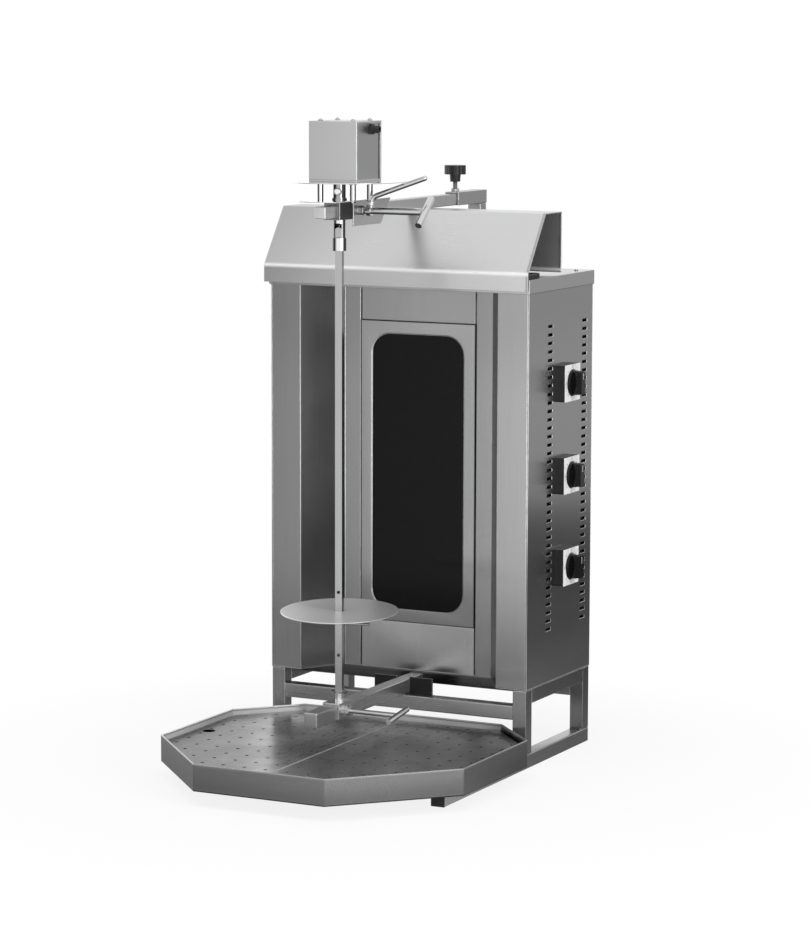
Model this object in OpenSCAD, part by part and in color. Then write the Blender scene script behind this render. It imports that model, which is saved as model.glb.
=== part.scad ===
// Electric skewer grill: a sheet steel heater cabinet on a tube frame, a motor driven
// upright skewer in front of its glass, and a drip pan that slides out below.
// Lengths are in millimetres. X runs to the right, Y to the back and Z up from the floor.
// Inside placed(), Y is counted from the front of the cabinet's two wings.

/* [Cabinet] */
// Width of the cabinet over its side panels
cabinet_w = 500; // [440:5:560]
// Depth of the cabinet from its wings to its back panel
cabinet_d = 270; // [250:5:320]
// Height of the cabinet from its floor to the top of its cap
cabinet_h = 710; // [660:10:780]
// Thickness of the cabinet's sheet steel
sheet_t = 1.5; // [1:0.1:2]
// Width of each flat front wing
wing_w = 58.5; // [50:0.5:65]
// Width that each splayed cheek takes up
cheek_w = 47; // [40:1:52]
// Depth of the recess behind the wings
recess_d = 80; // [60:1:95]
// Width of the window frame
window_w = 224; // [200:2:236]
// Height of the window frame
window_h = 534; // [480:2:560]
// Width of the glass that shows in the window frame
glass_w = 178; // [150:2:180]
// Height of the glass that shows in the window frame
glass_h = 489; // [430:1:496]
// Corner radius of the window
glass_corner_r = 34; // [10:1:40]
// Height of the blank panel below the window
lower_panel_h = 87; // [70:1:95]
// Height of the cap's turned down lip
cap_lip_h = 25; // [15:1:30]

/* [Hood] */
// Height of the hood's front band
fascia_h = 30.5; // [20:0.5:35]
// How far the hood's front band stands ahead of the wings
fascia_reach = 17; // [12:0.5:25]
// Depth of the hood's sloping face
hood_slope_d = 71.5; // [50:0.5:90]
// Depth of the hood's flat top
hood_top_d = 67.5; // [50:0.5:80]

/* [Base frame] */
// Outer width of the frame's square tube
tube_w = 25; // [20:1:28]
// Wall of every square tube
tube_wall = 2; // [1.5:0.1:3]
// Height of the base frame
base_h = 138; // [132:1:170]
// How far the bottom rails reach ahead of the wings
rail_reach = 317; // [260:1:340]
// How far the bottom arm reaches ahead of the wings
bottom_arm_reach = 319; // [290:1:340]

/* [Top arm and drive] */
// Outer width of the top arm's square tube
arm_w = 20; // [18:1:22]
// Height of the underside of the top arm above the floor
arm_z = 958; // [950:1:1000]
// How far the top arm reaches past the skewer's axis
arm_nose = 69; // [60:1:90]
// Distance of the skewer's axis ahead of the wings
skewer_reach = 216; // [200:1:225]
// Width and depth of the motor housing
motor_w = 90; // [84:1:100]
// Height of the motor housing
motor_h = 100; // [90:1:120]
// Radius of the upper shield disc
shield_r = 103; // [90:1:110]
// Radius of the lower shield plate
plate_r = 88; // [75:1:95]

/* [Skewer] */
// Width of the square skewer bar
skewer_w = 12; // [10:0.5:13]
// Radius of the meat disc
disc_r = 100; // [80:1:110]
// Height of the meat disc above the floor
disc_z = 291; // [285:1:330]

/* [Drip pan] */
// Width of the drip pan
pan_w = 576; // [540:2:600]
// How far the drip pan reaches ahead of the wings
pan_reach = 500; // [440:2:520]
// Height of the drip pan's wall
pan_h = 46; // [36:0.5:50]
// Diameter of the small holes in the tray
tray_hole_d = 6; // [3:0.5:10]
// Spacing of the small holes in the tray
tray_pitch = 40; // [30:1:60]

/* [Switches] */
// Width and height of a switch plate
switch_w = 64; // [56:1:70]
// Distance between the switches
switch_pitch = 161.5; // [120:0.5:170]
// Radius of a knob's skirt
knob_r = 24; // [18:0.5:28]

/* [Hidden] */
$fn = 48;

// Shared clearances
cut = 1;            // overrun of a cut past the face that it leaves
gap = 0.3;          // between two separate pieces that lie against each other
run_gap = 0.05;     // radial, of a shaft in its bearing
sheet_gap = 0.5;    // between sheet panels that meet edge to edge

// Rear end of the whole grill, behind the wings
post_gap = 35;      // from the back panel to the rear post
post_w = 25;
rear_reach = cabinet_d + post_gap + post_w;
// The origin lies below the middle of the overall depth
front_shift = (pan_reach - rear_reach) / 2;

module placed() { translate([0, front_shift, 0]) children(); }

module slab(low, high) { translate(low) cube(high - low); }

module along_x() { rotate([0, 90, 0]) children(); }

module along_y() { rotate([-90, 0, 0]) children(); }

module square_tube(side, wall, length) {
    linear_extrude(length) difference() {
        square(side, center = true);
        square(side - 2 * wall, center = true);
    }
}

module rounded_rect(w, h, r) {
    hull() for (sx = [-1, 1], sy = [-1, 1])
        translate([sx * (w / 2 - r), sy * (h / 2 - r)]) circle(r, $fn = 32);
}

module ring(r_out, r_in, h) {
    difference() {
        cylinder(r = r_out, h = h);
        translate([0, 0, -cut]) cylinder(r = r_in, h = h + 2 * cut);
    }
}

// Base frame
frame_inset = 1;                        // of the frame inside the cabinet's sides
frame_half = cabinet_w / 2 - frame_inset;
rail_x = frame_half - tube_w / 2;       // centre line of a side rail
inner_half = frame_half - tube_w;       // inner face of a leg
rear_y = cabinet_d - tube_w / 2;        // centre line of the rear legs

module base_legs() placed() color("silver")
    for (sx = [-1, 1], y = [tube_w / 2, rear_y])
        translate([sx * rail_x, y, tube_w])
            square_tube(tube_w, tube_wall, base_h - tube_w);

module bottom_side_rails() placed() color("silver")
    for (sx = [-1, 1])
        translate([sx * rail_x, -rail_reach, tube_w / 2]) along_y()
            square_tube(tube_w, tube_wall, rail_reach + cabinet_d);

module top_rails() placed() color("silver")
    for (sx = [-1, 1])
        translate([sx * rail_x, tube_w, base_h - tube_w / 2]) along_y()
            square_tube(tube_w, tube_wall, cabinet_d - 2 * tube_w);

// The arm lies on the mid rail and butts against the cross rail
cross_d = 20;
cross_h = 20;
arm_drop = 3;                           // of the arm's top below the frame's top
bottom_arm_z = base_h - arm_drop - tube_w / 2;
mid_z = bottom_arm_z - tube_w;          // centre line of the mid rails
cross_y = recess_d;

// One mid rail joins the front legs and one the rear legs
module mid_rail() placed() color("silver")
    for (y = [tube_w / 2, rear_y])
        translate([-inner_half, y, mid_z]) along_x()
            square_tube(tube_w, tube_wall, 2 * inner_half);

module cross_rail() placed() color("silver")
    translate([-inner_half, cross_y + cross_d / 2, base_h - cross_h / 2]) along_x()
        square_tube(cross_h, tube_wall, 2 * inner_half);

support_half_w = 57;
support_t = 3;

module arm_support() placed() color("gray")
    difference() {
        slab([-support_half_w, tube_w, mid_z - tube_w / 2],
             [support_half_w, tube_w + support_t, base_h]);
        slab([-tube_w / 2, tube_w - cut, mid_z + tube_w / 2],
             [tube_w / 2, tube_w + support_t + cut, base_h + cut]);
    }

plug_t = 2;
plug_depth = 12;

module tube_plug(side) {
    linear_extrude(plug_t) square(side, center = true);
    linear_extrude(plug_t + plug_depth) square(side - 2 * tube_wall, center = true);
}

module tube_plugs() placed() color("dimgray")
    for (sx = [-1, 1])
        translate([sx * rail_x, -rail_reach - plug_t, tube_w / 2]) along_y() tube_plug(tube_w);

arm_end_t = 2;                          // of the plate that closes the bottom arm's end

module bottom_arm() placed() color("silver") {
    translate([0, -bottom_arm_reach, bottom_arm_z]) along_y()
        square_tube(tube_w, tube_wall, bottom_arm_reach + cross_y);
    translate([0, -bottom_arm_reach - arm_end_t, bottom_arm_z]) along_y()
        linear_extrude(arm_end_t) square(tube_w, center = true);
}

// Cabinet
half_w = cabinet_w / 2;
recess_half = half_w - wing_w - cheek_w;    // half width of the recess's flat back
cabinet_top = base_h + cabinet_h;
wall_top = cabinet_top - sheet_t;           // top of the walls, under the cap
panel_z = base_h + sheet_t;                 // foot of the walls, on the floor panel
window_z = base_h + lower_panel_h;          // foot of the window frame
seam = 0.9;                                 // between the front panels

// Front edge of the cabinet seen from above, from the middle of the recess to one side
function front_line(inset) = [
    [recess_half, recess_d + inset],
    [half_w - wing_w + inset / 2, inset],
    [half_w - inset, inset]
];

module floor_panel() placed() color("silver")
    translate([0, 0, base_h]) linear_extrude(sheet_t)
        polygon(concat(
            [for (p = front_line(0)) p],
            [[half_w, cabinet_d], [-half_w, cabinet_d]],
            [[-half_w, 0], [wing_w - half_w, 0], [-recess_half, recess_d]]));

back_slot_w = 6;
back_slot_h = 60;
back_slot_pitch = 16;
back_slots = 8;
back_slot_rise = 60;                        // from the panel's ends to the slots

module back_panel() placed() color("silver")
    translate([0, cabinet_d, panel_z]) rotate([90, 0, 0]) linear_extrude(sheet_t)
        difference() {
            translate([-half_w, 0]) square([cabinet_w, wall_top - panel_z]);
            for (i = [0:back_slots - 1], z = [back_slot_rise,
                    wall_top - panel_z - back_slot_rise - back_slot_h])
                translate([(i - (back_slots - 1) / 2) * back_slot_pitch - back_slot_w / 2, z])
                    square([back_slot_w, back_slot_h]);
        }

// Cooling slots stand in two columns on each side panel
slot_w = 21;
slot_h = 5.5;
slot_pitch = 14.7;
slot_rows = 37;
slot_front = 79;                            // front of the first column behind the wings
slot_rear_in = 45;                          // from the second column's front to the rear
slot_rear = cabinet_d - slot_rear_in;
slot_drop = 85;                             // of the highest slot below the cap

module side_sheet(holes) {
    side_h = wall_top - panel_z;
    translate([0, 0, panel_z]) rotate([90, 0, 90]) linear_extrude(sheet_t)
        difference() {
            square([cabinet_d - sheet_t, side_h]);
            for (y = [slot_front, slot_rear], i = [0:slot_rows - 1])
                translate([y, side_h - slot_drop - slot_h / 2 - i * slot_pitch])
                    square([slot_w, slot_h]);
            if (holes)
                for (i = [-1:1])
                    translate([switch_y, switch_z + i * switch_pitch - panel_z])
                        circle(shaft_hole_r);
        }
}

module side_panel_left() placed() color("silver")
    translate([-half_w, 0, 0]) side_sheet(false);

module side_panel_right() placed() color("silver")
    translate([half_w - sheet_t, 0, 0]) side_sheet(true);

// Each front casing is one folded sheet: wing, splayed cheek and the strip by the window
strip_in = window_w / 2 + seam;

module front_casing() {
    back = recess_d + sheet_t;
    splay = half_w - wing_w;
    translate([0, 0, panel_z]) linear_extrude(wall_top - panel_z)
        polygon([
            [strip_in, recess_d], [recess_half, recess_d], [splay, 0],
            [half_w - sheet_t - sheet_gap, 0], [half_w - sheet_t - sheet_gap, sheet_t],
            [splay + sheet_t / 2, sheet_t], [recess_half + sheet_t / 2, back], [strip_in, back]
        ]);
}

module front_casing_left() placed() color("gainsboro") mirror([1, 0, 0]) front_casing();

module front_casing_right() placed() color("gainsboro") front_casing();

module front_sheet(z_low, z_high)
    slab([-window_w / 2, recess_d, z_low], [window_w / 2, recess_d + sheet_t, z_high]);

module top_blank_panel() placed() color("gainsboro")
    front_sheet(window_z + window_h + seam, wall_top);

module lower_panel() placed() color("gainsboro")
    front_sheet(panel_z, window_z - seam);

// The window frame stands a little proud of the strips beside it
frame_proud = 2;
bezel_w = 2;
glass_t = 4;
glass_lap = 8;                              // of the glass behind its frame
glass_rise = (window_h - glass_h) / 2;

module window_frame() placed() color("silver")
    translate([0, recess_d, window_z + window_h / 2]) rotate([90, 0, 0])
        difference() {
            translate([0, 0, -sheet_t]) linear_extrude(sheet_t + frame_proud)
                square([window_w, window_h], center = true);
            translate([0, 0, -sheet_t - cut]) linear_extrude(sheet_t + frame_proud + 2 * cut)
                rounded_rect(glass_w, glass_h, glass_corner_r);
            translate([0, 0, frame_proud - bezel_w / 2]) linear_extrude(bezel_w)
                rounded_rect(glass_w + 2 * bezel_w, glass_h + 2 * bezel_w,
                             glass_corner_r + bezel_w);
        }

module window_glass() placed() color("black")
    slab([-glass_w / 2 - glass_lap, recess_d + sheet_t, window_z + glass_rise - glass_lap],
         [glass_w / 2 + glass_lap, recess_d + sheet_t + glass_t,
          window_z + window_h - glass_rise + glass_lap]);

cap_over = 2;                               // of the cap past the walls
cap_front = 4;                              // of the cap ahead of the wings

module cap() placed() color("silver")
    difference() {
        slab([-half_w - cap_over, -cap_front, cabinet_top - cap_lip_h],
             [half_w + cap_over, cabinet_d + cap_over, cabinet_top]);
        slab([-half_w - cap_over + sheet_t, sheet_t - cap_front, cabinet_top - cap_lip_h - cut],
             [half_w + cap_over - sheet_t, cabinet_d + cap_over - sheet_t, wall_top]);
    }

// Hood: front band, sloping face, flat top and rear wall, bent from one sheet
hood_over = 5;                              // of the hood past the side panels
hood_half = half_w + hood_over;
hood_t = 2;
hood_lap = 20;                              // of the front band below the cap's top
fascia_z = cabinet_top - hood_lap;
hood_top = arm_z - gap;
hood_rear = hood_slope_d + hood_top_d - fascia_reach;
hood_ridge = hood_slope_d - fascia_reach;
hood_fold = hood_t / 2;                     // shift of the inner line at a slanting fold
hood_rear_lift = 5;                         // of the rear wall's foot above the cap
hood_foot = cabinet_top + hood_rear_lift;

module hood() placed() color("whitesmoke")
    translate([-hood_half, 0, 0]) rotate([90, 0, 90]) linear_extrude(2 * hood_half)
        polygon([
            [-fascia_reach, fascia_z], [-fascia_reach, fascia_z + fascia_h],
            [hood_ridge, hood_top], [hood_rear, hood_top], [hood_rear, hood_foot],
            [hood_rear - hood_t, hood_foot], [hood_rear - hood_t, hood_top - hood_t],
            [hood_ridge + hood_fold, hood_top - hood_t],
            [hood_t - fascia_reach, fascia_z + fascia_h - hood_fold],
            [hood_t - fascia_reach, fascia_z]
        ]);

// A short bar on the cap holds each end of the hood's front band
hood_bar_w = 28;
hood_bar_h = 9;
hood_bar_rear = 46;
hood_bar_in = 2;                            // inside the hood's end

module hood_brackets() placed() color("dimgray")
    for (sx = [-1, 1])
        translate([sx * (hood_half - hood_bar_in - hood_bar_w / 2), 0, cabinet_top])
            hull() {
                slab([-hood_bar_w / 2, hood_t - fascia_reach, 0],
                     [hood_bar_w / 2, 0, hood_bar_h]);
                translate([0, hood_bar_rear - hood_bar_w / 2, 0])
                    cylinder(d = hood_bar_w, h = hood_bar_h, $fn = 32);
            }

bolt_r = 4;
bolt_h = 3;
cap_bolt_in = 17;                           // from the cabinet's side
cap_bolt_back = 36;                         // from the cabinet's back
cap_bolt_y = cabinet_d - cap_bolt_back;
arm_bolt_back = 22;                         // from the arm's rear end

module frame_bolts() placed() color("silver") {
    for (sx = [-1, 1])
        translate([sx * (half_w - cap_bolt_in), cap_bolt_y, cabinet_top])
            cylinder(r = bolt_r, h = bolt_h, $fn = 6);
    translate([0, cross_y - arm_bolt_back, bottom_arm_z + tube_w / 2])
        cylinder(r = bolt_r, h = bolt_h / 2, $fn = 6);
}

// Heaters: three radiant panels in a tray, with a board of insulation behind
zones = 3;
element_gap = 6;
element_t = 22;
element_wall = 3;
element_rim = 6;
tray_side = 4;                              // from the elements to the tray's walls
element_w = glass_w;
element_h = (glass_h - (zones - 1) * element_gap) / zones;
element_y = recess_d + sheet_t + glass_t + gap;
groove_w = 4;
groove_pitch = 12;
groove_d = 2;
groove_rows = floor((element_h - 2 * element_rim) / groove_pitch);

module heater_element()
    difference() {
        slab([-element_w / 2, element_y, 0], [element_w / 2, element_y + element_t, element_h]);
        slab([element_rim - element_w / 2, element_y - cut, element_rim],
             [element_w / 2 - element_rim, element_y + element_wall, element_h - element_rim]);
        for (i = [0:groove_rows - 1])
            translate([0, element_y + element_wall, 2 * element_rim + i * groove_pitch])
                slab([2 * element_rim - element_w / 2, -cut, 0],
                     [element_w / 2 - 2 * element_rim, groove_d, groove_w]);
    }

module heater_elements() placed() color("orangered")
    for (i = [0:zones - 1])
        translate([0, 0, window_z + glass_rise + i * (element_h + element_gap)])
            heater_element();

tray_back = element_y + element_t;

module heater_tray() placed() color("silver")
    difference() {
        slab([-element_w / 2 - tray_side - sheet_t, element_y, window_z + glass_rise - tray_side],
             [element_w / 2 + tray_side + sheet_t, tray_back + sheet_t,
              window_z + window_h - glass_rise + tray_side]);
        slab([-element_w / 2 - tray_side, element_y - cut,
              window_z + glass_rise - tray_side - cut],
             [element_w / 2 + tray_side, tray_back,
              window_z + window_h - glass_rise + tray_side + cut]);
    }

board_t = 20;
board_over = 15;

module insulation_board() placed() color("wheat")
    slab([-element_w / 2 - board_over, tray_back + sheet_t, window_z],
         [element_w / 2 + board_over, tray_back + sheet_t + board_t, window_z + window_h]);

block_w = 90;
block_d = 30;
block_h = 22;
block_back = 70;                            // from the block's front to the cabinet's back
block_y = cabinet_d - block_back;
block_ways = 6;
block_slot = 5;

module terminal_block() placed() color("ivory")
    translate([0, block_y, panel_z]) difference() {
        slab([-block_w / 2, 0, 0], [block_w / 2, block_d, block_h]);
        for (i = [1:block_ways - 1])
            translate([(i / block_ways - 1 / 2) * block_w, 0, block_h / 2])
                slab([-block_slot / 4, -cut, 0], [block_slot / 4, block_d + cut, block_h]);
    }

gland_r = 11;
gland_h = 8;
gland_nose_r = 8;
gland_nose_h = 12;
gland_bore = 4;
mains_gland_in = 60;                        // from the cabinet's side
mains_gland_rise = 40;                      // above the cabinet's floor

module gland() {
    difference() {
        union() {
            cylinder(r = gland_r, h = gland_h, $fn = 6);
            cylinder(r = gland_nose_r, h = gland_h + gland_nose_h);
        }
        translate([0, 0, -cut]) cylinder(r = gland_bore, h = gland_h + gland_nose_h + 2 * cut);
    }
}

module mains_gland() placed() color("black")
    translate([half_w - mains_gland_in, cabinet_d, base_h + mains_gland_rise]) along_y() gland();

// Switches: a dark box and a thin plate on the side panel, the switch body inside
switch_back = 12;                           // of the switches behind the panel's middle
switch_rise = 5.5;                          // of the middle switch above the panel's middle
switch_y = cabinet_d / 2 + switch_back;
switch_z = base_h + cabinet_h / 2 + switch_rise;
switch_box_t = 16;
plate_t = 1.2;
shaft_r = 3;
shaft_hole_r = 4;
switch_body_w = 40;
switch_body_d = 34;
box_r = 3;
knob_skirt_t = 4;
knob_bar_w = 16;
knob_bar_h = 16;
knob_crown = 2;                             // narrowing of the grip bar at its top
plate_x = half_w + switch_box_t + plate_t;  // outer face of a switch plate
knob_x = plate_x + gap;
knob_end = knob_x + knob_skirt_t + knob_bar_h;

module at_switch(i)
    translate([0, switch_y, switch_z + i * switch_pitch]) children();

module switch_boxes() placed() color("black")
    for (i = [-1:1]) at_switch(i) translate([half_w, 0, 0]) along_x()
        difference() {
            linear_extrude(switch_box_t) rounded_rect(switch_w, switch_w, box_r);
            translate([0, 0, -cut]) cylinder(r = shaft_hole_r, h = switch_box_t + 2 * cut);
        }

module switch_plates() placed() color("white")
    for (i = [-1:1]) at_switch(i) translate([half_w + switch_box_t, 0, 0]) along_x()
        difference() {
            linear_extrude(plate_t) square(switch_w, center = true);
            translate([0, 0, -cut]) cylinder(r = shaft_hole_r, h = plate_t + 2 * cut);
        }

module rotary_switches() placed() color("ivory")
    for (i = [-1:1]) at_switch(i) translate([half_w - sheet_t - switch_body_d, 0, 0]) along_x()
        difference() {
            linear_extrude(switch_body_d) square(switch_body_w, center = true);
            translate([0, 0, switch_body_d / 2])
                cylinder(r = shaft_r + run_gap, h = switch_body_d);
        }

// A knob has a round skirt, an upright grip bar with round ends, and its shaft
module switch_knob(i) at_switch(i) {
    shaft_x = half_w - sheet_t - switch_body_d / 2 + gap;
    translate([shaft_x, 0, 0]) along_x()
        cylinder(r = shaft_r, h = knob_x - shaft_x + knob_skirt_t);
    translate([knob_x, 0, 0]) along_x() {
        cylinder(r1 = knob_r, r2 = knob_r - knob_crown, h = knob_skirt_t);
        intersection() {
            translate([0, 0, knob_skirt_t]) linear_extrude(knob_bar_h)
                square([2 * knob_r, knob_bar_w], center = true);
            translate([0, 0, knob_skirt_t])
                cylinder(r1 = knob_r - knob_crown, r2 = knob_r - 2 * knob_crown, h = knob_bar_h);
        }
    }
}

module knob_upper() placed() color("black") switch_knob(1);

module knob_middle() placed() color("black") switch_knob(0);

module knob_lower() placed() color("black") switch_knob(-1);

// Rear post and the bracket that clamps the top arm
post_y = cabinet_d + post_gap + post_w / 2;
post_top = arm_z - gap;
post_foot = mid_z - tube_w / 2;
post_tie_drop = 55;                         // of the upper tie below the cabinet's top

// The lower tie ends at the rear mid rail and the upper one at the back panel
module rear_post() placed() color("silver") {
    translate([0, post_y, post_foot]) square_tube(post_w, tube_wall, post_top - post_foot);
    for (z = [mid_z, cabinet_top - post_tie_drop])
        translate([0, cabinet_d, z]) along_y() square_tube(post_w, tube_wall, post_gap);
}

bracket_t = 3;
bracket_front = 213;
bracket_half = arm_w / 2 + gap + bracket_t;
bracket_top = arm_z + arm_w + gap + bracket_t;
knob_back = 13;                             // of the star knob behind the bracket's edge
star_y = bracket_front + knob_back;
star_stud_r = 4;
star_nut_r = 8;
star_nut_h = 6;

module arm_bracket() placed() color("silver")
    difference() {
        union() {
            slab([-bracket_half, bracket_front, post_top],
                 [bracket_half, rear_reach, bracket_top]);
            translate([0, star_y, bracket_top])
                cylinder(r = star_nut_r, h = star_nut_h, $fn = 6);
        }
        slab([-arm_w / 2 - gap, bracket_front - cut, post_top - cut],
             [arm_w / 2 + gap, rear_reach + cut, arm_z + arm_w + gap]);
        translate([0, star_y, arm_z])
            cylinder(r = star_stud_r + run_gap, h = 2 * arm_w + star_nut_h);
    }

star_lobes = 6;
star_r = 19.5;
star_lobe_r = 5.5;
star_head_h = 16;
star_neck_r = 9;
star_hub_r = 10;
star_hub_h = 13;
star_stud_h = 12;                           // of the stud that shows below the hub
star_hub_z = bracket_top + star_nut_h + star_stud_h;
star_valley_r = 7;

module star_knob() placed() color("black") translate([0, star_y, 0]) {
    translate([0, 0, arm_z + arm_w + gap])
        cylinder(r = star_stud_r, h = star_hub_z - arm_z - arm_w - gap);
    translate([0, 0, star_hub_z]) cylinder(r1 = star_neck_r, r2 = star_hub_r, h = star_hub_h);
    translate([0, 0, star_hub_z + star_hub_h]) difference() {
        cylinder(r = star_r, h = star_head_h);
        for (i = [0:star_lobes - 1]) rotate(360 / star_lobes * (i + 1 / 2))
            translate([star_r + star_valley_r / 2, 0, -cut])
                cylinder(r = star_valley_r, h = star_head_h + 2 * cut);
    }
}

// Top arm, with the carriage that holds the drive over the skewer
spin_y = -skewer_reach;
arm_reach = skewer_reach + arm_nose;
spindle_r = 6;

module top_arm() placed() color("silver")
    difference() {
        slab([-arm_w / 2, -arm_reach, arm_z], [arm_w / 2, rear_reach - bracket_t, arm_z + arm_w]);
        slab([tube_wall - arm_w / 2, tube_wall - arm_reach, arm_z + tube_wall],
             [arm_w / 2 - tube_wall, rear_reach, arm_z + arm_w - tube_wall]);
        translate([0, spin_y, arm_z - cut])
            cylinder(r = spindle_r + run_gap, h = arm_w + 2 * cut);
    }

carriage_wall = 5;
carriage_half = arm_w / 2 + carriage_wall;
carriage_front = 27;                        // ahead of the skewer's axis
carriage_rear = 116;                        // behind the skewer's axis
carriage_low = 4;                           // below the arm
carriage_high = 7.5;                        // above the arm
carriage_top = arm_z + arm_w + carriage_high;
clamp_back = 38;                            // of the clamp screw behind the skewer's axis
clamp_y = spin_y + clamp_back;
clamp_z = arm_z + arm_w / 2;
thread_r = 5;
screw_r = 6;
guard_t = 2.5;
guard_x = carriage_half;
clamp_nut_r = 8;
clamp_nut_h = 10;

module carriage() placed() color("dimgray")
    difference() {
        slab([-carriage_half, spin_y - carriage_front, arm_z - carriage_low],
             [carriage_half, spin_y + carriage_rear, carriage_top]);
        slab([-arm_w / 2, spin_y - carriage_front - cut, arm_z],
             [arm_w / 2, spin_y + carriage_rear + cut, arm_z + arm_w]);
        translate([0, spin_y, arm_z - 2 * arm_w])
            cylinder(r = spindle_r + run_gap, h = 4 * arm_w);
        translate([0, clamp_y, clamp_z]) along_x()
            cylinder(r = thread_r + run_gap, h = 2 * carriage_half);
    }

// The guard plate's rear edge leans with the hood's sloping face
guard_low = 16;                             // below the arm
guard_high = 6.5;                           // above the arm
guard_front = 17;                           // behind the skewer's axis
guard_top_len = 137;
guard_lean = 36;

module guard_plate() placed() color("silver") translate([guard_x, 0, 0])
    difference() {
        union() {
            translate([0, spin_y + guard_front, 0]) rotate([90, 0, 90]) linear_extrude(guard_t)
                polygon([
                    [0, arm_z - guard_low], [guard_top_len - guard_lean, arm_z - guard_low],
                    [guard_top_len, arm_z + arm_w + guard_high], [0, arm_z + arm_w + guard_high]
                ]);
            translate([guard_t, clamp_y, clamp_z]) along_x()
                cylinder(r = clamp_nut_r, h = clamp_nut_h, $fn = 6);
        }
        translate([-cut, clamp_y, clamp_z]) along_x()
            cylinder(r = thread_r + run_gap, h = guard_t + clamp_nut_h + 2 * cut);
    }

// Motor: four studs carry it over the lower plate, which lies on the carriage
motor_back = 20.5;                          // of the housing's middle behind the axis
motor_y = spin_y + motor_back;
motor_lift = 29;                            // of the upper disc above the lower plate
disc_t = 1.5;
base_t = 3;
plate_z = carriage_top;
shield_z = plate_z + disc_t + motor_lift;
base_z = shield_z + disc_t;
cover_z = base_z + base_t;
cover_top = base_z + motor_h;
post_r = 5;
post_half = 30.5;
post_end = 3;                               // of a stud's end below the plate
post_tip_r = 4.25;
post_nut_r = 8;
post_nut_h = 3;
motor_flange_r = 18;
motor_flange_h = 3;
coupling_r = 10.5;
ring_r = 12.5;
plate_flat = post_half + post_r + gap;      // the plate's straight right edge

module shield_plate() placed() color("whitesmoke")
    translate([0, 0, plate_z]) difference() {
        intersection() {
            translate([0, spin_y, 0]) cylinder(r = plate_r, h = disc_t, $fn = 96);
            slab([-2 * plate_r, spin_y - 2 * plate_r, -cut],
                 [plate_flat, spin_y + 2 * plate_r, disc_t + cut]);
        }
        translate([0, spin_y, -cut]) cylinder(r = ring_r + gap, h = disc_t + 2 * cut);
        at_posts() translate([0, 0, -cut]) cylinder(r = post_r, h = disc_t + 2 * cut);
    }

module at_posts()
    for (sx = [-1, 1], sy = [-1, 1])
        translate([sx * post_half, motor_y + sy * post_half, 0]) children();

stud_r = 3;
nut_r = 4.5;
nut_h = 2.2;
dome_r = 3.8;
dome_h = 4;

module motor_posts() placed() color("silver") at_posts() {
    translate([0, 0, plate_z - post_end]) cylinder(r1 = post_tip_r, r2 = post_r, h = post_end);
    translate([0, 0, plate_z]) cylinder(r = post_r, h = shield_z - plate_z);
    translate([0, 0, shield_z - post_nut_h]) cylinder(r = post_nut_r, h = post_nut_h, $fn = 6);
    translate([0, 0, shield_z]) cylinder(r = stud_r, h = cover_top - shield_z);
}

module shield_disc() placed() color("whitesmoke")
    translate([0, 0, shield_z]) difference() {
        translate([0, motor_y, 0]) cylinder(r = shield_r, h = disc_t, $fn = 96);
        translate([0, spin_y, -cut]) cylinder(r = motor_flange_r, h = disc_t + 2 * cut);
        at_posts() translate([0, 0, -cut]) cylinder(r = stud_r, h = disc_t + 2 * cut);
    }

module motor_base() placed() color("silver")
    difference() {
        slab([-motor_w / 2, motor_y - motor_w / 2, base_z],
             [motor_w / 2, motor_y + motor_w / 2, cover_z]);
        translate([0, spin_y, base_z - cut]) cylinder(r = motor_flange_r, h = base_t + 2 * cut);
        at_posts() translate([0, 0, base_z - cut]) cylinder(r = stud_r, h = base_t + 2 * cut);
    }

flange_w = 5;
panel_inset = 3;

module motor_cover() placed() color("whitesmoke") translate([0, motor_y, 0])
    difference() {
        slab([-motor_w / 2, -motor_w / 2, cover_z], [motor_w / 2, motor_w / 2, cover_top]);
        slab([sheet_t - motor_w / 2, sheet_t - motor_w / 2, cover_z - cut],
             [motor_w / 2 - sheet_t, motor_w / 2 - sheet_t, cover_top - sheet_t]);
        slab([-motor_w, flange_w - motor_w / 2, cover_z - cut],
             [motor_w, motor_w / 2 - flange_w, cover_top - flange_w]);
        for (sx = [-1, 1], sy = [-1, 1])
            translate([sx * post_half, sy * post_half, cover_top - 2 * sheet_t])
                cylinder(r = stud_r, h = 4 * sheet_t);
    }

// A side panel lies inside the cover's narrow flanges
module motor_side_panel()
    slab([motor_w / 2 - panel_inset, motor_y - motor_w / 2 + sheet_t, cover_z],
         [motor_w / 2 - panel_inset + sheet_t, motor_y + motor_w / 2 - sheet_t,
          cover_top - sheet_t]);

gland_rise = 14;                            // of the gland below the housing's top
gland_back = 9;                             // of the gland behind the housing's middle
motor_gland_y = motor_y + gland_back;
gland_z = cover_top - gland_rise;

module motor_side_panels() placed() color("gray") {
    mirror([1, 0, 0]) motor_side_panel();
    difference() {
        motor_side_panel();
        translate([0, motor_gland_y, gland_z]) along_x() cylinder(r = gland_bore, h = motor_w);
    }
}

module dome_nuts() placed() color("silver") at_posts()
    translate([0, 0, cover_top]) {
        cylinder(r = nut_r, h = nut_h, $fn = 6);
        intersection() {
            translate([0, 0, dome_h - dome_r]) sphere(dome_r);
            cylinder(r = dome_r, h = dome_h);
        }
    }

motor_gland_scale_share = 0.8;

module motor_gland() placed() color("black")
    translate([motor_w / 2 - panel_inset + sheet_t, motor_gland_y, gland_z]) along_x()
        scale(motor_gland_scale_share) gland();

gearbox_h = 38;
gearbox_half = 24;
motor_body_r = 26;
motor_body_h = 40;
shaft_end = 20;                             // of the output shaft inside the gearbox
output_r = 5;

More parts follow.
